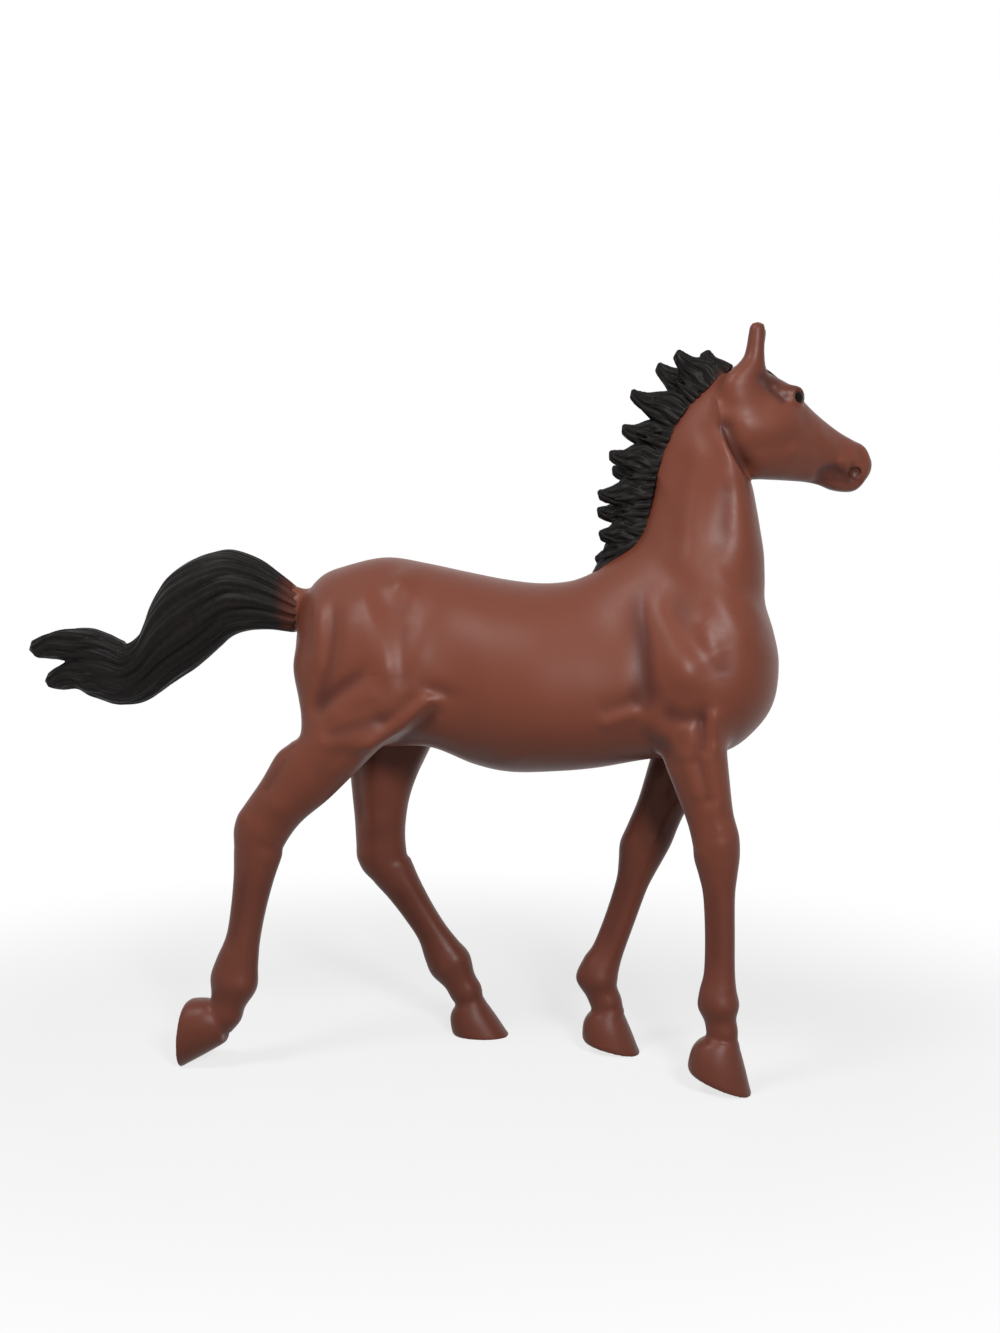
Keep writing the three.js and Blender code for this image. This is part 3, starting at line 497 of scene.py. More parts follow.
# Strokes of the modelling tool on both sides of the trunk and the neck, in the trunk's
# frame: the line, how far it reaches to its right hand and to its left hand as shares of
# the trunk's depth, and its height in muscle heights. A line runs down or forward.
TRUNK_STROKES = [
    ([(0.241, 0.111)], 0.062, 0.062, 1.7),
    ([(0.195, 0.161), (0.228, 0.211), (0.261, 0.229), (0.29, 0.195)], 0.048, 0.048, -0.3),
    ([(0.149, 0.078), (0.174, 0.208), (0.201, 0.324), (0.223, 0.43), (0.231, 0.514),
      (0.227, 0.618)], 0.106, 0.053, 1),
    ([(0.267, 0.245), (0.269, 0.361), (0.262, 0.492), (0.256, 0.619)], 0.053, 0.048, -0.45),
    ([(0.329, 0.091), (0.308, 0.221), (0.294, 0.342), (0.285, 0.454),
      (0.283, 0.538)], 0.062, 0.062, 0.35),
    ([(0.063, 0.146), (0.08, 0.277), (0.085, 0.408), (0.08, 0.559)], 0.043, 0.038, 0.55),
    ([(0.095, 0.136), (0.109, 0.248), (0.113, 0.369), (0.104, 0.501), (0.084, 0.663),
      (0.067, 0.749)], 0.043, 0.043, -0.6),
    ([(0.141, 0.236), (0.146, 0.376), (0.142, 0.498)], 0.053, 0.053, 0.3),
    ([(0.23, 0.471), (0.178, 0.511), (0.138, 0.578), (0.094, 0.67),
      (0.062, 0.742)], 0.043, 0.048, -0.75),
    ([(0.233, 0.592), (0.188, 0.622), (0.144, 0.672), (0.097, 0.745)], 0.048, 0.043, 0.5),
    ([(0.252, 0.686), (0.194, 0.741), (0.144, 0.777), (0.085, 0.823)], 0.043, 0.043, -0.6),
    ([(0.358, 0.657), (0.336, 0.64), (0.313, 0.637), (0.285, 0.694), (0.256, 0.756),
      (0.22, 0.81), (0.185, 0.859), (0.156, 0.908)], 0.029, 0.034, 1.6),
    ([(0.301, 0.586), (0.27, 0.653), (0.239, 0.72), (0.202, 0.783)], 0.038, 0.048, -0.4),
    ([(0.306, 0.576), (0.334, 0.589), (0.365, 0.611)], 0.043, 0.043, -0.5),
    ([(0.737, 0.086), (0.762, 0.185), (0.786, 0.279), (0.806, 0.378), (0.824, 0.463),
      (0.836, 0.54), (0.843, 0.631)], 0.082, 0.082, 1.1),
    ([(0.822, 0.473)], 0.106, 0.106, 1),
    ([(0.775, 0.118), (0.801, 0.212), (0.823, 0.288), (0.845, 0.364), (0.866, 0.413),
      (0.882, 0.485), (0.891, 0.567)], 0.053, 0.053, -0.65),
    ([(0.857, 0.279), (0.869, 0.342), (0.879, 0.401)], 0.053, 0.053, 0.7),
    ([(0.904, 0.379), (0.908, 0.443), (0.905, 0.516)], 0.043, 0.043, -0.3),
    ([(0.844, 0.106), (0.884, 0.183), (0.924, 0.277), (0.966, 0.381)], 0.058, 0.058, 0.3),
    ([(0.935, 0.127), (0.959, 0.218), (0.975, 0.319)], 0.038, 0.038, 0.35),
    ([(0.773, 0.655), (0.803, 0.686), (0.832, 0.698), (0.86, 0.669),
      (0.887, 0.622)], 0.048, 0.048, -0.7),
    ([(0.652, 0.755), (0.68, 0.721), (0.712, 0.691), (0.749, 0.661)], 0.038, 0.029, 0.6),
    ([(0.647, 0.679), (0.681, 0.649), (0.746, 0.604)], 0.043, 0.048, -0.45),
    ([(0.748, 0.785), (0.768, 0.821), (0.786, 0.857)], 0.038, 0.038, -0.6),
    ([(0.455, 0.922), (0.486, 0.911), (0.517, 0.89)], 0.029, 0.029, 0.25),
    ([(0.884, 0.635), (0.883, 0.753), (0.884, 0.89)], 0.038, 0.034, 0.8),
    ([(0.861, 0.655), (0.866, 0.768), (0.87, 0.891)], 0.029, 0.029, -0.9),
    ([(0.83, 0.702), (0.838, 0.802), (0.849, 0.906)], 0.043, 0.029, 0.6),
    ([(0.85, -0.671), (0.837, -0.512), (0.824, -0.33), (0.821, -0.17), (0.825, -0.01),
      (0.842, 0.146)], 0.077, 0.062, 0.85),
    ([(0.903, -0.412), (0.894, -0.285), (0.889, -0.156), (0.896, -0.009)], 0.048, 0.048, -0.5),
    ([(0.938, -0.321), (0.937, -0.164), (0.948, 0.002)], 0.038, 0.034, 0.15),
    ([(0.827, -0.558), (0.806, -0.399), (0.791, -0.192), (0.784, 0.002)], 0.058, 0.058, -0.35),
]

# Creases, given like the strokes. On a crease's right hand the skin comes up softly, like a
# stroke, and on its left hand it comes up at once and then ever more slowly.
TRUNK_CREASES = [
    ([(0.73, 0.062), (0.74, 0.207), (0.748, 0.365), (0.753, 0.51), (0.757, 0.647),
      (0.761, 0.733)], 0.072, 0.125, -1.15),
    ([(0.155, 0.95), (0.189, 0.915), (0.226, 0.861), (0.264, 0.812), (0.297, 0.749),
      (0.322, 0.692), (0.358, 0.708)], 0.048, 0.038, -0.8),
]


# Legs

# Sections down a leg: the bone (0 is inside the trunk), the place along it, how far the
# section turns with the bone, the size it is a share of and that share, the part of it in
# front of the bone, and its width as a share of the thickness.
FORE_SECTIONS = [
    (0, 0.05, 0, "arm_thick", 0.8, 0.5, 0.5),
    (0, 0.5, 0, "arm_thick", 1, 0.5, 0.58),
    (1, 0, 0.5, "elbow_thick", 1, 0.47, 0.7),
    (1, 0.22, 1, "elbow_thick", 0.9, 0.47, 0.74),
    (1, 0.45, 1, "elbow_thick", 0.79, 0.48, 0.78),
    (1, 0.72, 1, "knee_thick", 1, 0.5, 0.8),
    (1, 0.92, 1, "knee_thick", 1, 0.52, 0.82),
    (2, 0.05, 0.6, "knee_thick", 0.97, 0.5, 0.84),
    (2, 0.17, 1, "knee_thick", 0.81, 0.52, 0.86),
    (2, 0.3, 1, "fore_cannon_thick", 1.06, 0.54, 0.86),
    (2, 0.55, 1, "fore_cannon_thick", 1, 0.54, 0.82),
    (2, 0.78, 1, "fore_cannon_thick", 1.04, 0.5, 0.82),
    (2, 0.9, 1, "fore_fetlock_thick", 0.89, 0.45, 0.84),
    (3, 0, 0.5, "fore_fetlock_thick", 1, 0.46, 0.84),
    (3, 0.35, 1, "fore_pastern_thick", 1.02, 0.47, 0.9),
    (3, 0.65, 1, "fore_pastern_thick", 1, 0.5, 0.94),
    (3, 1, 1, "fore_pastern_thick", 0.9, 0.5, 0.95),
]
HIND_SECTIONS = [
    (0, 0.05, 0, "thigh_thick", 0.8, 0.43, 0.4),
    (0, 0.3, 0, "thigh_thick", 0.97, 0.44, 0.46),
    (0, 0.66, 0, "thigh_thick", 0.95, 0.495, 0.5),
    (1, 0, 0, "stifle_thick", 0.9, 0.439, 0.58),
    (1, 0.2, 0.2, "stifle_thick", 0.69, 0.38, 0.68),
    (1, 0.5, 0.8, "stifle_thick", 0.505, 0.304, 0.8),
    (1, 0.75, 1, "hock_thick", 1.05, 0.33, 0.82),
    (2, 0, 0.5, "hock_thick", 1, 0.48, 0.76),
    (2, 0.13, 1, "hock_thick", 0.89, 0.5, 0.82),
    (2, 0.3, 1, "hock_thick", 0.74, 0.5, 0.84),
    (2, 0.5, 1, "hind_cannon_thick", 1.02, 0.5, 0.82),
    (2, 0.7, 1, "hind_cannon_thick", 1, 0.5, 0.82),
    (2, 0.86, 1, "hind_fetlock_thick", 0.88, 0.46, 0.8),
    (3, 0, 0.5, "hind_fetlock_thick", 1, 0.46, 0.8),
    (3, 0.4, 1, "hind_pastern_thick", 1.03, 0.48, 0.92),
    (3, 0.7, 1, "hind_pastern_thick", 1, 0.5, 0.96),
    (3, 1, 1, "hind_pastern_thick", 0.7, 0.5, 0.96),
]

# The right hind leg swings back, and the front of its thigh is cut back to the stifle's fold.
SWUNG_SECTIONS = [
    *HIND_SECTIONS[:2],
    (0, 0.66, 0, "thigh_thick", 0.89, 0.461, 0.52),
    (1, 0, 0, "stifle_thick", 0.7, 0.28, 0.7),
    (1, 0.2, 0.2, "stifle_thick", 0.6, 0.285, 0.74),
    *HIND_SECTIONS[5:],
]
LEG_EGG, LEG_FULLNESS = -0.06, 0.95

# Strokes on the outer and inner side of a leg: the line, as places down the bones and from
# the back edge at 0 to the front edge at 1, its reach in millimetres, and its height in
# muscle heights.
FORE_STROKES = [
    ([(1.05, 0.8), (1.4, 0.78), (1.75, 0.72)], 2.0, 0.6),
    ([(1.05, 0.35), (1.3, 0.4), (1.6, 0.42)], 2.2, 0.6),
    ([(1.05, 0.57), (1.4, 0.6), (1.7, 0.6)], 1.6, -0.7),
    ([(0.95, 0.12), (1.1, 0.14), (1.3, 0.2)], 1.6, -0.35),
    ([(1.55, 0.6), (1.72, 0.64), (1.9, 0.66)], 1.8, 0.4),
    ([(1.93, 0.62)], 2.4, 0.5),
    ([(1.97, 0.16)], 1.8, 0.3),
    ([(2.2, 0.36), (2.5, 0.36), (2.8, 0.38)], 1.6, -0.25),
    ([(2.93, 0.3)], 2.2, 0.3),
    ([(3.0, 0.62)], 2.4, 0.3),
]
HIND_STROKES = [
    ([(1.02, 0.93), (1.2, 0.9), (1.38, 0.86)], 2.8, 0.5),
    ([(1.05, 0.7), (1.25, 0.66), (1.45, 0.62)], 3.2, -0.35),
    ([(1.1, 0.4), (1.35, 0.4), (1.6, 0.45)], 4.0, 0.3),
    ([(1.74, 0.55)], 3.4, 0.7),
    ([(1.3, 0.17), (1.55, 0.2), (1.8, 0.22)], 1.8, -0.45),
    ([(1.95, 0.5)], 3.2, 0.5),
    ([(1.95, 0.12)], 2.0, 0.5),
    ([(2.2, 0.4), (2.5, 0.38), (2.8, 0.4)], 1.8, -0.25),
    ([(2.15, 0.75), (2.5, 0.72), (2.85, 0.66)], 2.0, 0.3),
    ([(3.0, 0.4)], 2.6, 0.35),
    ([(2.98, 0.78)], 2.0, 0.3),
]

# A kind of leg: its sections, strokes and bones, and where its first two joints lie, along
# and down the trunk and out in trunk half-widths.
FORE = {
    "sections": FORE_SECTIONS, "strokes": FORE_STROKES,
    "bones": ("forearm", "fore_cannon", "fore_pastern"),
    "top": (0.825, 0.53, 0.52), "joint": (0.8375, 0.77, 0.62),
}
HIND = {
    "sections": HIND_SECTIONS, "strokes": HIND_STROKES,
    "bones": ("gaskin", "hind_cannon", "hind_pastern"),
    "top": (0.2, 0.356, 0.46), "joint": (0.18, 0.815, 0.76),
}
SWUNG_HIND = {**HIND, "sections": SWUNG_SECTIONS}

# How each leg stands: its side and kind, the angles of its bones in degrees forward, the
# angle of its hoof, its lean outwards, and the shares of its bones, girth and hoof.
STANCES = {
    "right_foreleg": (RIGHT, FORE, (12.3, 1.9, 5), 21, 0.5, (0.91, 1, 1), 1, 1.03),
    "left_foreleg": (LEFT, FORE, (-23.7, -17.8, 18), 13, -1.5, (1.13, 0.98, 1), 1.08, 0.95),
    "right_hind_leg": (RIGHT, SWUNG_HIND, (-47.2, -10.5, -20), 95, 0.8, (1.01, 1.07, 0.98),
                       1.04, 1.07),
    "left_hind_leg": (LEFT, HIND, (-8.7, 32.7, 26.5), 0, 2.6, (1.03, 0.92, 0.98), 1, 0.93),
}

# A hoof's sections from the coronet down to the sole, in hoof length and height from the
# end of the pastern: the toe edge, the heel edge and the half-width.
HOOF = [
    (0.19, 0.2, -0.28, 0.08, 0.62),
    (0.26, 0.06, -0.38, -0.13, 0.78),
    (0.43, -0.32, -0.42, -0.38, 0.93),
    (0.59, -0.7, -0.39, -0.74, 1),
    (0.66, -0.86, -0.35, -0.86, 0.99),
    (0.64, -0.9, -0.32, -0.9, 0.94),
]

# The point that closes a hoof at the coronet, and the shape of its sections.
HOOF_TOP = (0, 0.1)
HOOF_EGG, HOOF_FULLNESS = 0.04, 0.85

# The rows that a leg is read at to place a stroke on it.
LEG_READINGS = 400


class Leg:
    """One leg: its joints, its limb and its hoof.

    The limb hangs from the trunk over three bones, drawn out so that the hoof presses the
    tread's depth into the ground.
    """

    def __init__(self, body, sizes, stance):
        self.side, limb, self.angles, toe, lean, bones, self.girth, hoof_share = stance
        self.sections, self.strokes, self.sizes = limb["sections"], limb["strokes"], sizes
        self.hoof = self.hoof_shape(toe, hoof_share)
        self.joints = [trunk_point(body, along, down, self.side * out * body.trunk_half)
                       for along, down, out in (limb["top"], limb["joint"])]
        lengths = np.array([getattr(sizes, name) for name in limb["bones"]]) * bones
        turns = np.radians(self.angles)
        end = -self.hoof[0][:, 2].min() - sizes.tread
        stretch = (self.joints[1][2] - end) / (lengths * np.cos(turns)).sum()
        for size, turn in zip(lengths * stretch, turns):
            drop = size * np.cos(turn)
            step = (size * np.sin(turn), self.side * drop * np.tan(np.radians(lean)), -drop)
            self.joints.append(self.joints[-1] + step)
        self.hoof = moved(self.hoof, Matrix.Translation(self.joints[-1]))
        self.rows = [self.row(*section) for section in self.sections]

    def row(self, bone, along, turn_share, size, size_share, fore_share, wide_share):
        """The row of a section, across the bone, turned between this bone and the last."""
        thick = getattr(self.sizes, size) * size_share * (self.girth if bone else 1)
        centre = self.joints[bone] + (self.joints[bone + 1] - self.joints[bone]) * along
        angles = (0, *self.angles)
        before = angles[max(bone - 1, 0)]
        angle = math.radians(before + (angles[bone] - before) * turn_share)
        fore = np.array([math.cos(angle), 0, math.sin(angle)])
        front, back = centre + fore * thick * fore_share, centre - fore * thick * (1 - fore_share)
        return (*front, *back, thick * wide_share / 2, LEG_EGG, LEG_FULLNESS)

    def limb(self):
        return loft(self.rows, self.joints[0], self.joints[-1], *GRIDS["limb"])

    def hoof_shape(self, toe, hoof_share):
        """A loft from the coronet down to the flat sole, turned by the toe's angle."""
        long, high = self.sizes.hoof_length * hoof_share, self.sizes.hoof_height * hoof_share
        half = self.sizes.hoof_half * hoof_share
        rows = [(a * long, 0, b * high, c * long, 0, d * high, e * half, HOOF_EGG, HOOF_FULLNESS)
                for a, b, c, d, e in HOOF]
        sole = (np.array(rows[-1][:3]) + rows[-1][3:6]) / 2
        top = np.array([HOOF_TOP[0] * long, 0, HOOF_TOP[1] * high])
        turned = Matrix.Rotation(math.radians(toe), 4, "Y")
        return moved(loft(rows, top, sole, *GRIDS["hoof"]), turned)

    def place(self, bone_place, across):
        """A point of the side view: the place along the bones and from the back edge to
        the front edge of the limb there."""
        known = [section[0] + section[1] for section in self.sections]
        way = np.interp(bone_place, known, np.arange(len(known))) / (len(known) - 1)
        rows = through(self.rows, LEG_READINGS)
        row = rows[int(round(way * (len(rows) - 1)))]
        point = row[3:6] + (row[:3] - row[3:6]) * across
        return point[0], point[2]




# Head

# Along the head, from behind the jowl to the muzzle: the forehead and nose line, the jaw
# line (down from the pivot), the half-width, the egg and the fullness.
HEAD = [
    (-0.185, 0.11, -0.19, 0.61, 0.46, 0, 0.95),
    (-0.1, -0.03, -0.11, 0.77, 0.7, 0, 0.92),
    (0.023, -0.14, 0.023, 0.854, 0.87, 0, 0.9),
    (0.115, -0.14, 0.126, 0.862, 0.97, 0, 0.88),
    (0.215, -0.07, 0.23, 0.869, 0.99, -0.05, 0.86),
    (0.31, 0.045, 0.322, 0.877, 0.86, -0.08, 0.85),
    (0.413, 0.185, 0.414, 0.888, 0.72, -0.05, 0.85),
    (0.517, 0.305, 0.506, 0.915, 0.61, 0, 0.85),
    (0.62, 0.41, 0.598, 0.965, 0.56, 0, 0.85),
    (0.712, 0.485, 0.68, 0.985, 0.575, 0, 0.84),
    (0.785, 0.54, 0.74, 0.97, 0.56, 0, 0.86),
    (0.825, 0.64, 0.795, 0.88, 0.42, 0, 0.9),
]

# The points that close the head behind and in front.
JOWL = (-0.225, 0.36)
MUZZLE = (0.842, 0.77)

# Where the head turns, in the neck's frame: reach, rise and out in neck half-widths.
PIVOT = (1.052, 0.908, 0)

# The forms on the sides of the head: the middle of each, along and down the head and out in
# half-widths, and its radii along, across and up as shares of its own size.
CHEEK, CHEEK_FORM = (0.09, 0.44, 0.44), (1, 0.5, 1)
ORBIT, ORBIT_FORM = (0.24, 0.11, 0.6), (1, 0.65, 0.8)
EYE, EYE_FORM = (0.258, 0.11, 0.73), (1, 0.7, 0.9)
NOSTRIL, NOSTRIL_FORM = (0.7, 0.8, 0.52), (0.85, 0.4, 1)

# The opening between the lids beside the eyeball, and the lids' ring round it: its radius
# and width in eyeballs, its height in muscle heights and how much more the upper lid has.
LID_GAP = np.array([-0.4, 0.06, -0.2]) * MM
LID_RADIUS, LID_WIDTH, LID_HEIGHT, UPPER_LID = 1.05, 0.26, 0.35, 0.5

# An ear's root on the head and how far it leans forward and outwards, in degrees, and
# the height of its foot inside the head, in ear lengths.
EARS = {RIGHT: ((0.02, -0.02, 0.42), 3), LEFT: ((0.1, -0.01, 0.4), 12)}
EAR_OUT = 3
EAR_FOOT = -0.55

# The cup in the front of an ear: the turn it lies at, its spread, both in radians, and its
# depth in ear widths.
CUP_TURN, CUP_SPREAD, CUP_DEPTH = 0.9, 0.6, 0.14

# Up an ear: the rise, the back edge, the half-width and how much of the front is left out.
EAR = [
    (-0.45, 0.6, 0.3, 0.3),
    (-0.25, 1.0, 0.42, 0.3),
    (-0.05, 1.08, 0.45, 0.3),
    (0.1, 0.98, 0.42, 0.27),
    (0.22, 0.78, 0.4, 0.23),
    (0.4, 0.45, 0.35, 0.12),
    (0.55, 0.35, 0.32, 0.08),
    (0.75, 0.31, 0.29, 0.06),
    (0.9, 0.28, 0.25, 0.05),
    (0.97, 0.2, 0.18, 0),
]

# Strokes on both sides of the head, in shares of its length along and its depth down,
# with the reaches as shares of its depth.
HEAD_STROKES = [
    ([(-0.184, 0.227), (-0.17, 0.372), (-0.137, 0.545), (-0.072, 0.718),
      (0.013, 0.866)], 0.048, 0.106, -1.2),
    ([(0.262, 0.313), (0.231, 0.442), (0.154, 0.526), (0.026, 0.554),
      (-0.089, 0.509)], 0.087, 0.087, -0.4),
    ([(-0.041, 0.346), (0.036, 0.381), (0.113, 0.389)], 0.144, 0.144, 0.45),
    ([(0.162, 0.608), (0.293, 0.626), (0.438, 0.663)], 0.067, 0.067, 0.35),
    ([(0.489, 0.812), (0.555, 0.793), (0.623, 0.831)], 0.087, 0.087, -1.6),
    ([(0.594, 0.709), (0.635, 0.746)], 0.058, 0.058, 0.8),
    ([(0.662, 0.746), (0.683, 0.794), (0.677, 0.85)], 0.048, 0.048, -0.9),
    ([(0.715, 0.586), (0.736, 0.662), (0.744, 0.737)], 0.048, 0.048, -0.4),
    ([(0.759, 0.879), (0.698, 0.888), (0.631, 0.906)], 0.038, 0.038, -0.3),
    ([(0.613, 0.935)], 0.077, 0.077, 0.25),
    ([(0.01, -0.104), (0.055, -0.05), (0.113, 0.021)], 0.058, 0.058, -0.8),
    ([(0.092, -0.05), (0.138, 0.077), (0.197, 0.185)], 0.058, 0.058, -0.7),
    ([(0.183, 0.039), (0.221, 0.01), (0.267, 0.046)], 0.048, 0.048, 0.5),
    ([(0.276, 0.248), (0.336, 0.348), (0.416, 0.458)], 0.087, 0.087, -0.25),
    ([(0.376, 0.385), (0.47, 0.495), (0.564, 0.587)], 0.077, 0.077, 0.4),
]


def head_point(head, along, drop, out=0.0, side=LEFT):
    """A point in the head's frame: shares of its length, depth and half-width."""
    return np.array([along * head.head_length, side * out * head.head_half,
                     -drop * head.head_depth])


def head_place(body, head):
    """The head's frame: its origin at the poll's pivot, turned to the left."""
    reach, rise, out = PIVOT
    pivot = neck_point(body, reach, rise, out * body.neck_half)
    return Matrix.Translation(pivot) @ Matrix.Rotation(head.head_turn, 4, "Z")


def ear(head, side):
    """A cone hollowed at the front like a cup, leaning out and forward.

    The cup's depth is exp(-(turn from its middle / spread)^2) sin(pi along).
    """
    wide, tall = head.ear_width, head.ear_length
    rows = [((back - 2 * hollow * back) * wide, 0, rise * tall, -back * wide, 0, rise * tall,
             half * wide, 0, 1) for rise, back, half, hollow in EAR]

    def cup(turn, along):
        aside = np.abs(np.angle(np.exp(1j * (turn + side * CUP_TURN))))
        return -np.exp(-(aside / CUP_SPREAD) ** 2) * np.sin(np.pi * along) * CUP_DEPTH * wide

    base, forward = EARS[side]
    place = (Matrix.Translation(head_point(head, *base, side))
             @ Matrix.Rotation(math.radians(-side * EAR_OUT), 4, "X")
             @ Matrix.Rotation(math.radians(forward), 4, "Y"))
    tip = np.array([0, 0, tall])
    return moved(loft(rows, EAR_FOOT * tip, tip, *GRIDS["ear"], cup), place)


def boss(head, centre, form, radius, side):
    return ball(head_point(head, *centre, side), np.array(form) * radius)


def press_head(clay, body, head):
    """The head in its own block of clay: the skull with its cheeks, orbits and nostrils."""
    place = head_place(body, head)
    rows = [(*head_point(head, a, b), *head_point(head, c, d), half * head.head_half, egg, full)
            for a, b, c, d, half, egg, full in HEAD]
    skull = loft(rows, head_point(head, *JOWL), head_point(head, *MUZZLE), *GRIDS["head"])
    clay.join(moved(skull, place))
    for side in (RIGHT, LEFT):
        cheek = boss(head, CHEEK, CHEEK_FORM, head.cheek, side)
        clay.join(moved(cheek, place), BLENDS["cheek"])
        orbit = boss(head, ORBIT, ORBIT_FORM, head.orbit, side)
        clay.join(moved(orbit, place), BLENDS["orbit"])
    for side in (RIGHT, LEFT):
        nostril = boss(head, NOSTRIL, NOSTRIL_FORM, head.nostril, side)
        clay.carve(moved(nostril, place), BLENDS["nostril"])


def eyeball(body, head, side, gap=0.0):
    """An eyeball, or with a gap the opening between the lids, shorter and lower than it."""
    radii = np.array(EYE_FORM) * head.eye + gap
    return moved(ball(head_point(head, *EYE, side), radii), head_place(body, head))


# The figure's skin

# The rises of the neck between which the head's crease opens from the jowl to the poll.
CREASE_RISES = (0.84, 0.96)

# Where strokes show: how far sideways the skin has to face on the body and on the head; the
# heights, in croup heights, from which the trunk's strokes begin and up to which those of
# the legs go, with the stretch in which they fade; and how far from the head's own clay
# the head's strokes take over from the neck's.
BODY_SIDE, HEAD_SIDE = 0.5, 0.4
TRUNK_FROM, LEGS_UP_TO, HEIGHT_FADE = 0.52, 0.72, 0.06
HEAD_NEAR, HEAD_FADE = 0.3 * MM, 3 * MM


def crease(body, clay):
    """The blend of head and neck for each layer of cells, narrow at the jowl and wide at
    the poll."""
    height = np.arange(clay.low[2], clay.high[2]) * clay.cell
    foot, top = (neck_point(body, 0, rise)[2] for rise in CREASE_RISES)
    opened = smooth((height - foot) / (top - foot))
    return body.neck_blend + (body.poll_blend - body.neck_blend) * opened


def press_figure(clay, body, head, legs, hair):
    """Trunk and neck, the tail's sleeve, then the legs, the hooves, the head and the ears,
    each with its blend. Gives back the head's own block of clay."""
    clay.join(trunk_and_neck(body))
    clay.join(nape(body), BLENDS["nape"])
    clay.join(tail_loft(body, hair, SLEEVE, SLEEVE_ENDS, "sleeve"), BLENDS["sleeve"])
    for leg in legs.values():
        clay.join(leg.limb(), body.leg_blend)
    for leg in legs.values():
        clay.join(leg.hoof, BLENDS["hoof"])
    bust = clay.empty()
    press_head(bust, body, head)
    clay.merge(bust, crease(body, clay))
    for side in (RIGHT, LEFT):
        clay.join(moved(ear(head, side), head_place(body, head)), BLENDS["ear"])
        clay.carve(eyeball(body, head, side, LID_GAP))
    return bust


def trunk_lift(points, body):
    """The lift of the strokes and creases on trunk and neck, in muscle heights."""
    drop = body.croup_height - points[:, 2]
    shares = np.stack([points[:, 0], drop], -1) / body.trunk_depth
    slim = body.trunk_length / body.trunk_depth
    lift = np.zeros(len(points))
    for strokes, power in ((TRUNK_STROKES, 2), (TRUNK_CREASES, 1)):
        for line, right, left, height in strokes:
            line = [(along * slim, down) for along, down in line]
            lift += height * near(shares, line, right, left, power)
    return lift * smooth((points[:, 2] / body.croup_height - TRUNK_FROM) / HEIGHT_FADE)


def head_lift(points, normals, body, head):
    """The lift of the strokes on the head, in muscle heights."""
    inverse = head_place(body, head).inverted()
    inside = placed(points, inverse)
    sideways = np.abs(normals @ np.array(inverse)[1, :3])
    seen = np.stack([inside[:, 0], -inside[:, 2]], -1) / head.head_depth
    long = head.head_length / head.head_depth
    lift = np.zeros(len(points))
    for line, right, left, height in HEAD_STROKES:
        line = [(along * long, down) for along, down in line]
        lift += height * near(seen, line, right, left)
    return lift * smooth(sideways / HEAD_SIDE)


def lid_lift(points, body, head):
    """The lift of the lids, a soft ring round each eyeball, in muscle heights."""
    inside = placed(points, head_place(body, head).inverted())
    lift = np.zeros(len(points))
    for side in (RIGHT, LEFT):
        apart = (inside - head_point(head, *EYE, side)) / (np.array(EYE_FORM) * head.eye)
        away = np.linalg.norm(apart, axis=1)
        height = LID_HEIGHT * (1 + UPPER_LID * smooth(apart[:, 2]))
        lift += height * np.exp(-((away - LID_RADIUS) / LID_WIDTH) ** 2)
    return lift


def leg_lift(points, body, legs):
    """The lift of the strokes on the legs, in muscle heights."""
    flat = points[:, [0, 2]]
    lift = np.zeros(len(points))
    for leg in legs.values():
        own = points[:, 1] * leg.side > 0
        for line, reach, height in leg.strokes:
            line = [leg.place(place, across) for place, across in line]
            lift += own * height * near(flat, line, reach * MM, reach * MM)
    return lift * smooth((LEGS_UP_TO - points[:, 2] / body.croup_height) / HEIGHT_FADE)


def model_muscles(points, normals, bust, body, head, legs):
    """How far the modelling tool lifts each point of the skin, in metres."""
    flank = smooth(np.abs(normals[:, 1]) / BODY_SIDE)
    on_head = 1 - smooth((bust.read(points) - HEAD_NEAR) / HEAD_FADE)
    lift = flank * (1 - on_head) * trunk_lift(points, body)
    lift += on_head * head_lift(points, normals, body, head)
    lift += lid_lift(points, body, head)
    lift += flank * leg_lift(points, body, legs)
    return lift * body.muscle_height


def vertex_normals(points, quads):
    """The mean direction of the faces round each point, by area."""
    a, b, c, d = (points[quads[:, i]] for i in range(4))
    face = np.cross(c - a, d - b)
    total = np.stack([np.bincount(quads.ravel(), np.repeat(face[:, i], 4), len(points))
                      for i in range(3)], -1)
    return unit(total)


def sculpted(clay, bust, body, head, legs):
    """The skin of a block of clay, lifted by the muscles and level with the ground."""
    points, quads = clay.skin()
    normals = vertex_normals(points, quads)
    lift = model_muscles(points, normals, bust, body, head, legs)
    points = points + normals * lift[:, None]
    points[:, 2] = np.maximum(points[:, 2], 0)
    return points, quads


# Meshes

# The angles, in degrees, beyond which an edge is shaded sharp.
SKIN_SHARP, HAIR_SHARP, NEVER_SHARP = 50, 70, 180


def mesh_object(name, points, faces, sharp=SKIN_SHARP):
    """A mesh from arrays of points and of faces of one or more sizes."""
    mesh = bpy.data.meshes.new(name)
    loops = np.concatenate([np.asarray(f).ravel() for f in faces]).astype(np.int32)
    sizes = np.concatenate([np.full(len(f), np.shape(f)[1]) for f in faces])
    starts = np.concatenate([[0], np.cumsum(sizes)[:-1]]).astype(np.int32)
    mesh.vertices.add(len(points))
    mesh.vertices.foreach_set("co", np.asarray(points, np.float32).ravel())
    mesh.loops.add(len(loops))
    mesh.loops.foreach_set("vertex_index", loops)
    mesh.polygons.add(len(sizes))
    mesh.polygons.foreach_set("loop_start", starts)
    mesh.update(calc_edges=True)
    mesh.validate()
    made = bpy.data.objects.new(name, mesh)
    bpy.context.scene.collection.objects.link(made)
    soften(made, sharp)
    return made


def soften(made, sharp):
    made.data.shade_smooth()
    made.data.set_sharp_from_angle(angle=math.radians(sharp))


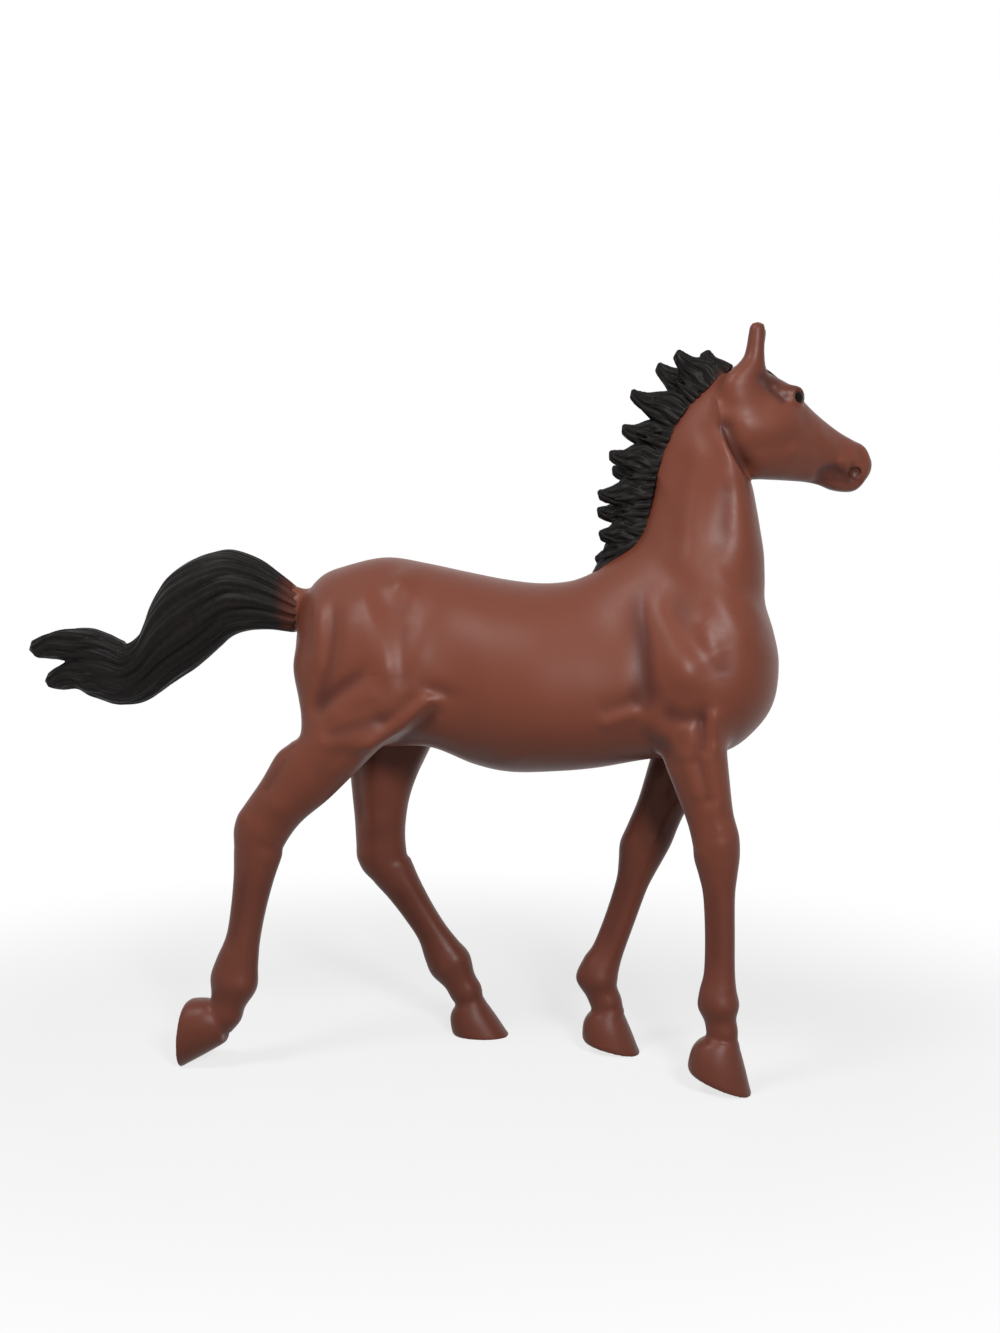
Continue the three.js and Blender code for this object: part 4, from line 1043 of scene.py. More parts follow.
def prism(profile, axis, low, high, place):
    """A closed block: a profile in the plane across an axis, drawn out along it. The
    profile and the two ends are in millimetres."""
    profile = np.array(profile) * MM
    count = len(profile)
    ends = [np.insert(profile, axis, value * MM, axis=1) for value in (low, high)]
    points = placed(np.vstack(ends), place)
    side = np.arange(count)
    after = (side + 1) % count
    walls = np.stack([side, after, count + after, count + side], -1)
    mesh = bpy.data.meshes.new("zone")
    mesh.from_pydata(points.tolist(), [], [list(range(count))[::-1],
                                           list(range(count, 2 * count)), *walls.tolist()])
    block = bpy.data.objects.new("zone", mesh)
    bpy.context.scene.collection.objects.link(block)
    if signed_volume(mesh) < 0:
        mesh.flip_normals()
    return block


def signed_volume(mesh):
    mesh.calc_loop_triangles()
    corners = np.empty(len(mesh.loop_triangles) * 3, np.int32)
    mesh.loop_triangles.foreach_get("vertices", corners)
    points = np.empty(len(mesh.vertices) * 3)
    mesh.vertices.foreach_get("co", points)
    a, b, c = points.reshape(-1, 3)[corners.reshape(-1, 3)].transpose(1, 0, 2)
    return np.einsum("ij,ij->", a, np.cross(b, c)) / 6


def combined(piece, tool, operation):
    """A new mesh of one object cut or kept by another."""
    cutter = piece.modifiers.new("cut", "BOOLEAN")
    cutter.solver, cutter.operation, cutter.object = "MANIFOLD", operation, tool
    graph = bpy.context.evaluated_depsgraph_get()
    made = bpy.data.meshes.new_from_object(piece.evaluated_get(graph))
    piece.modifiers.remove(cutter)
    if not made.polygons:
        raise RuntimeError(f"nothing is left of {piece.name} after {operation}")
    return made


def discard(*objects):
    for item in objects:
        mesh = item.data
        bpy.data.objects.remove(item)
        bpy.data.meshes.remove(mesh)


def take_normals(piece, whole):
    """Gives a cut piece the shading of the whole skin, so that no seam shows."""
    transfer = piece.modifiers.new("normals", "DATA_TRANSFER")
    transfer.object, transfer.use_loop_data = whole, True
    transfer.data_types_loops = {"CUSTOM_NORMAL"}
    transfer.loop_mapping = "POLYINTERP_NEAREST"
    graph = bpy.context.evaluated_depsgraph_get()
    made = bpy.data.meshes.new_from_object(piece.evaluated_get(graph))
    piece.modifiers.remove(transfer)
    piece.data = made


def split(piece, zone, name):
    """Cuts the part of a piece inside a zone off as a new object."""
    inside = bpy.data.objects.new(name, combined(piece, zone, "INTERSECT"))
    bpy.context.scene.collection.objects.link(inside)
    piece.data = combined(piece, zone, "DIFFERENCE")
    return inside


def fit(made, name, material, nodes):
    """Names a finished piece, gives it its finish and puts it in the place of its nodes."""
    made.name = made.data.name = name
    made.data.materials.clear()
    made.data.materials.append(material)
    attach(made, "root")
    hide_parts(*nodes)


def store(made, name, values):
    """Keeps a number for each vertex, for the material to read."""
    made.data.attributes.new(name, "FLOAT", "POINT").data.foreach_set(
        "value", np.asarray(values, np.float32))


def vertices_of(made):
    points = np.empty(len(made.data.vertices) * 3)
    made.data.vertices.foreach_get("co", points)
    normals = np.empty(len(made.data.vertices) * 3)
    made.data.vertices.foreach_get("normal", normals)
    return points.reshape(-1, 3), normals.reshape(-1, 3)


# Materials

class Socket:
    """A node's output that takes part in sums: each operator adds its Math node."""

    def __init__(self, material, output):
        self.material, self.output = material, output

    def math(self, operation, *others):
        values = {i + 1: other for i, other in enumerate(others)}
        return self.material.node("ShaderNodeMath", {"operation": operation}, {0: self, **values})

    def __add__(self, other):
        return self.math("ADD", other)

    def __sub__(self, other):
        return self.math("SUBTRACT", other)

    def __mul__(self, other):
        return self.math("MULTIPLY", other)

    def __rsub__(self, other):
        return self.material.node("ShaderNodeMath", {"operation": "SUBTRACT"}, {0: other, 1: self})

    __radd__, __rmul__ = __add__, __mul__

    def between(self, low, high):
        """Nought at low, one at high and smooth between them."""
        settings = {"interpolation_type": "SMOOTHSTEP"}
        return self.material.node("ShaderNodeMapRange", settings,
                                  {"Value": self, "From Min": low, "From Max": high})


class Finish:
    """A material and the one way that its nodes are made."""

    def __init__(self, name):
        self.material = bpy.data.materials.new(name)
        self.material.use_nodes = True
        self.tree = self.material.node_tree
        self.tree.nodes.clear()
        self.place = self.node("ShaderNodeTexCoord", output="Object")

    def node(self, kind, settings=None, inputs=None, output=0):
        made = self.tree.nodes.new(kind)
        for key, value in (settings or {}).items():
            setattr(made, key, value)
        for key, value in (inputs or {}).items():
            socket = made.inputs[key]
            if isinstance(value, Socket):
                self.tree.links.new(value.output, socket)
            else:
                socket.default_value = value
        return Socket(self, made.outputs[output])

    def mix(self, factor, first, second):
        """A colour between two others."""
        made = self.tree.nodes.new("ShaderNodeMix")
        made.data_type = "RGBA"
        colours = [s for s in made.inputs if s.type == "RGBA"]
        for socket, value in ((made.inputs["Factor"], factor), *zip(colours, (first, second))):
            if isinstance(value, Socket):
                self.tree.links.new(value.output, socket)
            else:
                socket.default_value = value if socket.type == "VALUE" else (*value, 1)
        return Socket(self, next(o for o in made.outputs if o.type == "RGBA"))

    def noise(self, scale, detail=2, roughness=0.5):
        return self.node("ShaderNodeTexNoise", {"noise_dimensions": "3D"}, {
            "Vector": self.place, "Scale": scale, "Detail": detail,
            "Roughness": roughness}, output="Fac")

    def stored(self, name):
        return self.node("ShaderNodeAttribute", {"attribute_name": name}, output="Fac")

    def bump(self, height, distance, strength):
        return self.node("ShaderNodeBump", None, {
            "Height": height, "Distance": distance, "Strength": strength}, output="Normal")

    def surface(self, **inputs):
        """Ends the material in a shader whose sockets take these values or links."""
        shader = self.node("ShaderNodeBsdfPrincipled", None, {
            key.replace("_", " "): value for key, value in inputs.items()}, output="BSDF")
        self.finish(shader)
        return self.material

    def finish(self, shader):
        """Leads a shader to the output."""
        out = self.tree.nodes.new("ShaderNodeOutputMaterial")
        self.tree.links.new(shader.output, out.inputs["Surface"])


# The heights, in metres, between which the coat darkens down the legs.
LEGS_LIGHT, LEGS_DARK = 0.09, 0.04


def coat_finish(looks):
    """Brown satin plastic with painted shade in the hollows of the modelling and in the nostrils,
    darker on the forehead and ears and down the legs, faintly clouded, and finely pitted by the
    mould."""
    finish = Finish("coat_plastic")
    # The stored hollow value is painted shade in the creases and the nostrils, together with the
    # darker forehead and ears.
    hollow = finish.stored("hollow")
    cloud = finish.noise(55, detail=3, roughness=0.6)
    fine = finish.noise(900, roughness=0.6)
    pits = finish.noise(1500)
    high = finish.node("ShaderNodeSeparateXYZ", None, {"Vector": finish.place}, output="Z")
    leg = high.between(LEGS_LIGHT, LEGS_DARK)
    # Painted shade: the hollows, the cloud and the darker lower legs mix the coat towards
    # coat_shade.
    shade = (hollow + (cloud - 0.5) * 0.4 + leg * 0.45).between(0.0, 1.0)
    base = finish.mix(shade, looks.coat, looks.coat_shade)
    rough = (cloud - 0.5) * 0.16 + (fine - 0.5) * 0.1 + looks.coat_rough
    return finish.surface(
        Base_Color=base, Roughness=rough, Normal=finish.bump(pits, 0.00004, 0.35),
        Specular_IOR_Level=0.26)


def hair_finish(looks):
    """Black paint over moulded strands, with a painted grey sheen on the ridges, thin and brown at
    the edge.
    """
    finish = Finish("hair_paint")
    ridge = finish.stored("ridge")
    fringe = finish.stored("fringe")
    grain = finish.noise(700, detail=3, roughness=0.65)
    # Painted sheen: the strands' ridges are mixed towards the grey hair_shine.
    worn = (ridge + (grain - 0.5) * 0.7).between(0.45, 1.15)
    base = finish.mix(worn, looks.hair, looks.hair_shine)
    edge = (fringe + (grain - 0.5) * 0.3).between(0.2, 0.95)
    base = finish.mix(edge, base, looks.fringe)
    rough = (grain - 0.5) * 0.3 + looks.hair_rough
    return finish.surface(
        Base_Color=base, Roughness=rough, Normal=finish.bump(grain, 0.00012, 0.4),
        Specular_IOR_Level=0.12)


def eye_finish(looks):
    """Glossy black enamel, a trace browner where it is thin."""
    finish = Finish("eye_enamel")
    thin = finish.noise(1200)
    base = finish.mix((thin - 0.5) * 0.4 + 0.05, looks.eye, looks.fringe)
    rough = (thin - 0.5) * 0.06 + 0.12
    return finish.surface(Base_Color=base, Roughness=rough, Specular_IOR_Level=0.1)


# Operators

# How far each half of the trunk stays from the middle plane.
HALF_CLEARANCE = 0.15 * MM

# The blocks of clay, in millimetres from the croup's foot, from the head's pivot and from
# the tail's dock, and how far round its skin a block knows the distance. The body's block
# goes below the ground by twice that.
BODY_LOW, BODY_HIGH = (-34, -30, 0), (156, 34, 190)
HEAD_LOW, HEAD_HIGH = (-24, -20, -36), (42, 34, 24)
TAIL_LOW, TAIL_HIGH = (-80, -12, -40), (16, 12, 26)
HEAD_REACH, HAIR_REACH = 6 * MM, 2.4 * MM

# Painted shade in the hollows: the depth, in muscle heights, that is fully shaded; the darkening
# of the forehead and ears, with where it begins below and behind the poll in head depths and the
# stretches in which it grows; and the painted shade in the nostrils and its radius in nostril
# radii.
FULL_SHADE_DEPTH = 1.1
BROW_SHADE, BROW_BELOW, BROW_FADE, BROW_BEHIND = 0.75, 0.2, 0.2, 0.5
NOSTRIL_SHADE, NOSTRIL_SPREAD = 1.5, 1.625


def settings():
    scene = bpy.context.scene
    return (scene.horse_body, scene.horse_head, scene.horse_legs, scene.horse_hair,
            scene.horse_looks)


def figure_origin(body):
    """Where the frame puts the croup's foot: the buttocks' end and the middle plane."""
    low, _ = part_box("body_shell_left")
    return np.array([low.x - BUTTOCK[0] * body.trunk_length, low.y - HALF_CLEARANCE, 0])


def finest(cell):
    """The cell as it is given."""
    return cell


def all_legs(body, sizes):
    return {name: Leg(body, sizes, stance) for name, stance in STANCES.items()}


def hollows(made, origin, bust, body, head, legs):
    """Keeps painted shade for each vertex: how deep it lies in a hollow of the modelling, and
    painted shade in the nostrils. The ears and the forehead are made as dark as a hollow."""
    points, normals = vertices_of(made)
    points = points - origin
    lift = model_muscles(points, normals, bust, body, head, legs) / body.muscle_height
    inside = placed(points, head_place(body, head).inverted())
    brow = (smooth((inside[:, 2] / head.head_depth + BROW_BELOW) / BROW_FADE)
            * smooth(inside[:, 0] / head.head_depth + BROW_BEHIND))
    nostrils = np.zeros(len(points))
    for side in (RIGHT, LEFT):
        away = np.linalg.norm(inside - head_point(head, *NOSTRIL, side), axis=1)
        nostrils += 1 - smooth(away / (NOSTRIL_SPREAD * head.nostril))
    crease_shade = np.clip(-lift / FULL_SHADE_DEPTH, 0, 1)
    # The stored hollow value is painted shade in the creases and nostrils, with the darker
    # forehead and ears added.
    store(made, "hollow", crease_shade + BROW_SHADE * brow + NOSTRIL_SHADE * nostrils)


# Where the legs leave the body, seen from the side and from behind, in millimetres from
# the croup's foot; the leg is inside both outlines.
FORE_ZONE = [(91, 130), (115.5, 130), (115.5, 73.5), (130, 70), (130, -10), (60, -10),
             (60, 70), (91, 73.5)]
FORE_SLOPE = [(1, -10), (1, 73), (26, 98), (60, 98), (60, -10)]
HIND_ZONE = [(-45, -10), (-45, 90), (-10, 106), (8, 111), (34, 109), (44, 96), (44, 78),
             (59, 73), (59, -10)]
HIND_SLOPE = [(1, -10), (1, 76), (8, 84), (24, 112), (60, 112), (60, -10)]

# How far out from the middle plane, and how far back and forward, a leg's block goes.
LEG_OUT, LEG_ALONG = (1, 60), (-60, 140)

# Where the head leaves the neck, in the head's frame, and the right half of the trunk, both
# seen from the side, with how far they go to the right and to the left.
HEAD_ZONE = [(-9.5, 40), (60, 40), (60, -33), (12, -33), (3, -24), (-2.5, -19), (-9.5, -8)]
HEAD_ACROSS = (-40, 40)
HALF_ZONE = [(-80, -20), (200, -20), (200, 220), (-80, 220)]
HALF_ACROSS = (-60, 0)


def leg_zone(origin, side, seen, slope):
    """The block that holds one leg: an outline from the side, kept where the slope has it."""
    place = Matrix.Translation(Vector(origin))
    block = prism(seen, 1, *sorted(side * out for out in LEG_OUT), place)
    tool = prism(np.array(slope) * (side, 1), 0, *LEG_ALONG, place)
    kept = combined(block, tool, "INTERSECT")
    discard(tool)
    block.data = kept
    return block


class HORSE_OT_body(bpy.types.Operator):
    """Models trunk, neck and legs as one skin and parts it into the moulded pieces"""
    bl_idname = "horse.body"
    bl_label = "Body and legs"

    def execute(self, context):
        body, head, leg_sizes, hair, looks = settings()
        legs = all_legs(body, leg_sizes)
        origin = figure_origin(body)
        coat = coat_finish(looks)
        place = Matrix.Translation(Vector(origin))
        reach = 2 * body.leg_blend
        low, high = np.array(BODY_LOW) * MM, np.array(BODY_HIGH) * MM
        low[2] = -2 * reach
        clay = Clay(low, high, finest(body.cell), reach)
        bust = press_figure(clay, body, head, legs, hair)
        points, quads = sculpted(clay, bust, body, head, legs)
        whole = mesh_object("skin", points + origin, [quads])
        rest = bpy.data.objects.new("rest", whole.data)
        context.scene.collection.objects.link(rest)
        zone = prism(HEAD_ZONE, 1, *HEAD_ACROSS, place @ head_place(body, head))
        rest.data = combined(rest, zone, "DIFFERENCE")
        discard(zone)
        pieces = {}
        for name, leg in legs.items():
            seen, slope = (FORE_ZONE, FORE_SLOPE) if "fore" in name else (HIND_ZONE, HIND_SLOPE)
            zone = leg_zone(origin, leg.side, seen, slope)
            pieces[name] = split(rest, zone, name)
            discard(zone)
        half = prism(HALF_ZONE, 1, *HALF_ACROSS, place)
        pieces["body_shell_right"] = split(rest, half, "body_shell_right")
        pieces["body_shell_left"] = rest
        discard(half)
        for name, made in pieces.items():
            made.data.shade_smooth()
            take_normals(made, whole)
            fit(made, name + "_skin", coat, [name])
            hollows(made, origin, bust, body, head, legs)
        discard(whole)
        return {"FINISHED"}


class HORSE_OT_head(bpy.types.Operator):
    """Models the head in a finer skin, cut off where it meets the neck"""
    bl_idname = "horse.head"
    bl_label = "Head"

    def execute(self, context):
        body, head, _, hair, _ = settings()
        origin = figure_origin(body)
        place = head_place(body, head)
        pivot = np.array(place.translation)
        low, high = pivot + np.array(HEAD_LOW) * MM, pivot + np.array(HEAD_HIGH) * MM
        clay = Clay(low, high, finest(body.fine_cell), HEAD_REACH)
        bust = press_figure(clay, body, head, {}, hair)
        points, quads = sculpted(clay, bust, body, head, {})
        made = mesh_object("head_skin", points + origin, [quads])
        zone = prism(HEAD_ZONE, 1, *HEAD_ACROSS, Matrix.Translation(Vector(origin)) @ place)
        made.data = combined(made, zone, "INTERSECT")
        discard(zone)
        soften(made, SKIN_SHARP)
        fit(made, "head_skin", bpy.data.materials["coat_plastic"], ["head"])
        hollows(made, origin, bust, body, head, {})
        return {"FINISHED"}


class HORSE_OT_eyes(bpy.types.Operator):
    """Sets a glossy eyeball into each socket"""
    bl_idname = "horse.eyes"
    bl_label = "Eyes"

    def execute(self, context):
        body, head, _, _, looks = settings()
        enamel = eye_finish(looks)
        origin = figure_origin(body)
        for side, name in ((RIGHT, "right_eye"), (LEFT, "left_eye")):
            points, quads, fans = eyeball(body, head, side)
            made = mesh_object(name, points + origin, [quads, fans], NEVER_SHARP)
            if signed_volume(made.data) < 0:
                made.data.flip_normals()
            fit(made, name + "_ball", enamel, [name])
        return {"FINISHED"}


# Mane, forelock and tail

# Where the mane begins at the poll, in neck reach and rise.
CREST_TOP = (0.97, 0.965)

# The locks of the mane, from the poll to the withers: the root along the crest, the
# heading in degrees up from straight ahead, the length, and the lean to the left.
LOCKS = [
    (0.066, 112, 0.64, 4),
    (0.077, 138, 0.9, -8),
    (0.131, 147, 1, 6),
    (0.232, 157, 1.07, -6),
    (0.345, 166, 0.91, 7),
    (0.442, 171, 0.9, -8),
    (0.487, 176, 0.81, 8),
    (0.557, 184, 0.95, -5),
    (0.641, 181, 0.9, 6),
    (0.715, 189, 0.76, -7),
    (0.798, 203, 0.69, 3),
]

# Down a lock: how far it has gone, its bend, its depth and its half-width.
LOCK = [
    (-0.18, 0, 0.8, 0.8),
    (0.12, 0, 0.95, 1),
    (0.36, -0.01, 0.97, 0.96),
    (0.56, -0.03, 0.72, 0.8),
    (0.74, -0.05, 0.44, 0.6),
    (0.9, -0.04, 0.3, 0.42),
    (0.99, -0.02, 0.2, 0.3),
]

# The points that close a lock: how far it has gone there, and its bend.
LOCK_ENDS = ((-0.3, 0), (1.02, 0.03))
HAIR_FULLNESS = 0.95

# The strands beside each lock: the shift of the root along the crest, the turn from the
# lock's heading, the length, how far out they lie and their thickness.
STRANDS = [
    (-0.036, 19, 0.5, 0.74, 0.9),
    (-0.025, 9, 0.68, 0.86, 0.75),
    (-0.012, 8, 0.62, 0.92, 1),
    (0.002, -3, 0.75, 0.84, 0.75),
    (0.014, -4, 0.6, 0.9, 1),
    (0.027, -13, 0.66, 0.8, 0.75),
    (0.038, -20, 0.5, 0.74, 0.9),
]

# How far a strand strays from its place along the crest, its heading in degrees and its
# length, the crest's part that holds roots, and how much each strand fans out, in degrees.
STRAY_WAY, STRAY_TURN, STRAY_LENGTH = 0.01, 4, 0.15
ROOTS_FROM, ROOTS_TO = 0.02, 0.95
STRAND_FAN = 2

# A strand's depth and half-width in those of a lock.
STRAND_DEPTH, STRAND_HALF = 0.18, 0.3

# The ridges on a lock, the coarse and the fine: their number, twist and wobble.
LOCK_RIDGES = ((9, 1.2, 0.5), (21, -4.3, 1.1))

# The bed of the mane along the crest: how far down it, and its thickness in lock depths.
BED = [
    (0.03, 0.25),
    (0.12, 0.45),
    (0.25, 0.6),
    (0.38, 0.72),
    (0.51, 0.82),
    (0.64, 0.8),
    (0.8, 0.6),
    (0.88, 0.36),
    (0.97, 0.1),
]
BED_EGG = 0.3

# The steps along the crest, and how far to both sides of a point its direction is read.
CREST_STEPS, CREST_RUN = 600, 0.004

# The edge of the mane on the neck, from the poll down, in neck reach and rise.
MANE_EDGE = [
    (1.09, 1.103),
    (0.99, 1.001),
    (0.909, 0.946),
    (0.76, 0.853),
    (0.631, 0.75),
    (0.537, 0.618),
    (0.483, 0.509),
    (0.449, 0.4),
    (0.416, 0.28),
    (0.369, 0.156),
    (0.243, 0.083),
    (0.068, 0.01),
]

# How far past its ends the cut along the mane's edge goes.
EDGE_PAST = 4 * MM


def strands(turn, along, count, twist, wobble):
    """Rounded ridges with sharp grooves between them, drifting and swaying on their way.

    |sin(count turn / 2 + twist along + sway)|^0.8 - 0.6, where the sway is
    wobble sin(2 pi 1.7 along + 3 sin(turn)).
    """
    sway = wobble * np.sin(2 * np.pi * along * 1.7 + 3 * np.sin(turn))
    return np.abs(np.sin(count * turn / 2 + twist * along + sway)) ** 0.8 - 0.6


def lock(root, heading, lean, size, depth, half, relief=None):
    """One lock of hair: a loft along its heading that thins and bends to a blunt tip."""
    turn = math.radians(heading)
    ahead = unit(np.array([math.cos(turn), math.sin(math.radians(lean)), math.sin(turn)]))
    rise = unit(np.array([-ahead[2], 0, ahead[0]]))

    def at(gone, bend):
        return root + ahead * gone * size - rise * bend * size

    rows = []
    for gone, bend, depth_share, half_share in LOCK:
        arm = rise * depth_share * depth / 2
        rows.append((*(at(gone, bend) + arm), *(at(gone, bend) - arm), half_share * half, 0,
                     HAIR_FULLNESS))
    return loft(rows, at(*LOCK_ENDS[0]), at(*LOCK_ENDS[1]), *GRIDS["lock"], relief)


class Crest:
    """The line that the mane grows from, measured along its length from the poll down."""

    def __init__(self, body):
        rows = [neck_point(body, *CREST_TOP)]
        rows += [neck_point(body, row[0], row[1]) for row in reversed(NECK)]
        rows += [trunk_point(body, row[0], row[1]) for row in reversed(TRUNK[CREST_END:])]
        self.points = through(rows, CREST_STEPS)
        steps = np.linalg.norm(np.diff(self.points, axis=0), axis=1)
        self.gone = np.concatenate([[0], np.cumsum(steps)]) / steps.sum()

    def at(self, way):
        return np.array([np.interp(way, self.gone, self.points[:, i]) for i in range(3)])

    def run(self, way):
        return unit(self.at(min(way + CREST_RUN, 1)) - self.at(max(way - CREST_RUN, 0)))


def bed(crest, hair):
    """The loft that the locks stand on: along the crest, as thick as its table says."""
    rows = []
    for way, thick in BED:
        run = crest.run(way)
        away = np.array([run[2], 0, -run[0]]) * thick * hair.lock_depth
        rows.append((*(crest.at(way) + away), *(crest.at(way) - away), hair.lock_half, BED_EGG,
                     HAIR_FULLNESS))
    return loft(rows, crest.at(0), crest.at(1), *GRIDS["bed"])


def strand(crest, hair, side, index, step):
    """A thin lock beside a full one, astray by the share sin(7.3 lock + 2.1 step + side)."""
    way, heading, size, _ = LOCKS[index]
    shift, turn, long, out, thick = STRANDS[step]
    stray = math.sin(7.3 * index + 2.1 * step + side)
    root = crest.at(min(max(way + shift + STRAY_WAY * stray, ROOTS_FROM), ROOTS_TO))
    root = root + SIDEWAYS * side * out * hair.lock_half
    size = size * long * (1 + STRAY_LENGTH * stray) * hair.lock_length
    fan = side * STRAND_FAN * (step - len(STRANDS) // 2)
    return lock(root, heading + turn + STRAY_TURN * stray, fan, size,
                STRAND_DEPTH * thick * hair.lock_depth, STRAND_HALF * thick * hair.lock_half)


def press_mane(clay, body, hair):
    """The bed along the crest, the locks, and thin strands laid over both sides."""
    crest = Crest(body)
    clay.join(bed(crest, hair))
    for index, (way, heading, size, lean) in enumerate(LOCKS):
        def relief(turn, along, phase=index):
            coarse, fine = (strands(turn, along, count, phase + twist, wobble)
                            for count, twist, wobble in LOCK_RIDGES)
            return hair.strand_depth * (coarse + 0.5 * fine)

        clay.join(lock(crest.at(way), heading, lean, size * hair.lock_length, hair.lock_depth,
                       hair.lock_half, relief), BLENDS["lock"])
        for side in (RIGHT, LEFT):
            for step in range(len(STRANDS)):
                clay.join(strand(crest, hair, side, index, step), BLENDS["strand"])
    clay.carve(below_mane(body), BLENDS["mane edge"])


def below_mane(body):
    """A loft whose one edge is the mane's edge and whose other lies in front of the neck."""
    rows = [(*neck_point(body, reach, rise), *neck_point(body, reach + 0.7, rise - 0.3),
             3 * body.neck_half, 0, HAIR_FULLNESS) for reach, rise in MANE_EDGE]
    along = unit(np.array([0.5, 0, 1]))
    ends = [(np.array(row[:3]) + row[3:6]) / 2 + way * along * EDGE_PAST
            for row, way in ((rows[0], 1), (rows[-1], -1))]
    return loft(rows, *ends, *GRIDS["mane edge"])


# The dock, where the tail leaves the body, in the trunk's shares.
DOCK = (-0.007, 0.26)

# Down the tail and its two tips: the top line, the bottom line and the half-width. A point
# is given by how far it lies back from the dock, in tail lengths, and above it, in tail
# depths, and each table has the two points that close its loft.
TAIL = [
    (-0.04, 0.093, -0.033, -0.185, 0.42),
    (0.01, 0.25, 0.02, -0.25, 0.56),
    (0.075, 0.42, 0.105, -0.23, 0.68),
    (0.145, 0.58, 0.185, -0.25, 0.8),
    (0.239, 0.685, 0.243, -0.315, 0.9),
    (0.313, 0.657, 0.287, -0.44, 0.97),
    (0.381, 0.57, 0.333, -0.579, 1),
    (0.456, 0.394, 0.38, -0.708, 0.98),
    (0.497, 0.208, 0.427, -0.815, 0.94),
    (0.527, 0.023, 0.473, -0.93, 0.9),
    (0.549, -0.17, 0.52, -1.046, 0.84),
    (0.576, -0.343, 0.567, -1.125, 0.78),
    (0.627, -0.449, 0.62, -1.157, 0.72),
    (0.689, -0.347, 0.684, -1.148, 0.62),
    (0.769, -0.34, 0.76, -1.03, 0.42),
    (0.827, -0.42, 0.813, -0.9, 0.2),
]
TAIL_ENDS = ((-0.06, -0.04), (0.85, -0.65))
UPPER_TIP = [
    (0.64, -0.42, 0.64, -0.75, 0.5),
    (0.75, -0.28, 0.75, -0.66, 0.54),
    (0.84, -0.287, 0.827, -0.648, 0.42),
    (0.919, -0.352, 0.907, -0.63, 0.32),
    (0.975, -0.444, 0.96, -0.616, 0.18),
]
UPPER_ENDS = ((0.6, -0.58), (0.988, -0.537))
LOWER_TIP = [
    (0.64, -0.8, 0.64, -1.13, 0.48),
    (0.75, -0.66, 0.75, -1.08, 0.52),
    (0.827, -0.67, 0.807, -0.986, 0.38),
    (0.88, -0.745, 0.867, -1.005, 0.28),
    (0.917, -0.833, 0.915, -0.977, 0.16),
]
LOWER_ENDS = ((0.6, -0.95), (0.932, -0.912))

# The tail and its tips: the table, the ends, the grid, the ridges round it, how far along
# the ridges begin to show, and the blend. Then the twist and wobble of the coarse ridges
# and of the fine ones.
TAIL_PARTS = (
    (TAIL, TAIL_ENDS, "tail", 13, 0.12, 0),
    (UPPER_TIP, UPPER_ENDS, "tip", 8, 0, BLENDS["tip"]),
    (LOWER_TIP, LOWER_ENDS, "tip", 8, 0, BLENDS["tip"]),
)
TAIL_RIDGES = ((2.4, 0.7), (-3.1, 0.9))

# The coat's sleeve round the root of the tail: its top and bottom line and its half-width,
# in the same shares as the tail's.
SLEEVE = [
    (-0.08, 0.16, -0.08, -0.33, 0.5),
    (-0.01, 0.25, 0, -0.27, 0.5),
    (0.04, 0.3, 0.05, -0.2, 0.46),
    (0.08, 0.3, 0.09, -0.12, 0.34),
]
SLEEVE_ENDS = ((-0.12, -0.08), (0.12, 0.1))


def tail_point(body, hair, along, rise):
    """A point of the tail: shares of its length back from the dock and of its depth up."""
    return trunk_point(body, *DOCK) + np.array([-along * hair.tail_length, 0,
                                                rise * hair.tail_depth])


def tail_loft(body, hair, table, ends, grid, relief=None):
    rows = [(*tail_point(body, hair, a, b), *tail_point(body, hair, c, d),
             half * hair.tail_half, 0, HAIR_FULLNESS) for a, b, c, d, half in table]
    start, end = (tail_point(body, hair, *p) for p in ends)
    return loft(rows, start, end, *GRIDS[grid], relief)


def press_tail(clay, body, hair):
    """The tail's body and its two tips, each a loft with strands that drift along it."""
    for table, ends, grid, count, fade, blend in TAIL_PARTS:
        def relief(turn, along, count=count, fade=fade):
            fading = smooth(along / fade + 0.3) if fade else 1
            coarse = strands(turn, along, count, *TAIL_RIDGES[0])
            fine = strands(turn, along, 2 * count + 5, *TAIL_RIDGES[1])
            return hair.strand_depth * fading * (1.1 * coarse + 0.5 * fine)

        clay.join(tail_loft(body, hair, table, ends, grid, relief), blend)


# How far from its edge the paint of the mane, of the forelock and of the tail is thin.
MANE_FRINGE, FORELOCK_FRINGE, TAIL_FRINGE = 0.9 * MM, 0.8 * MM, 8.5 * MM

# The forelock: its root on the head, its heading in degrees, its ridges with their twist
# and wobble, and their height in strand depths.
FORELOCK = (0.04, -0.115)
FORELOCK_HEADING = -20
FORELOCK_RIDGES, FORELOCK_HEIGHT = (8, 1.0, 0.4), 0.6


def hair_piece(name, node, clay, body, head, origin, hair, looks, fringe):
    """Seats a block of hair on the skin and makes its piece, with its ridges and fringe.

    A ridge is told by how far the clay lies below a point a little outside the skin.
    """
    bare = clay.empty()
    press_figure(bare, body, head, {}, hair)
    clay.cut(bare, hair.seat)
    points, quads = clay.skin()
    normals = vertex_normals(points, quads)
    made = mesh_object(name, points + origin, [quads], HAIR_SHARP)
    material = bpy.data.materials.get("hair_paint") or hair_finish(looks)
    fit(made, name, material, [node])
    around = 3 * clay.cell
    below = clay.read(points + normals * around) / around
    store(made, "ridge", np.clip(below - 0.25, 0, 1))
    store(made, "fringe", fringe(points, bare))


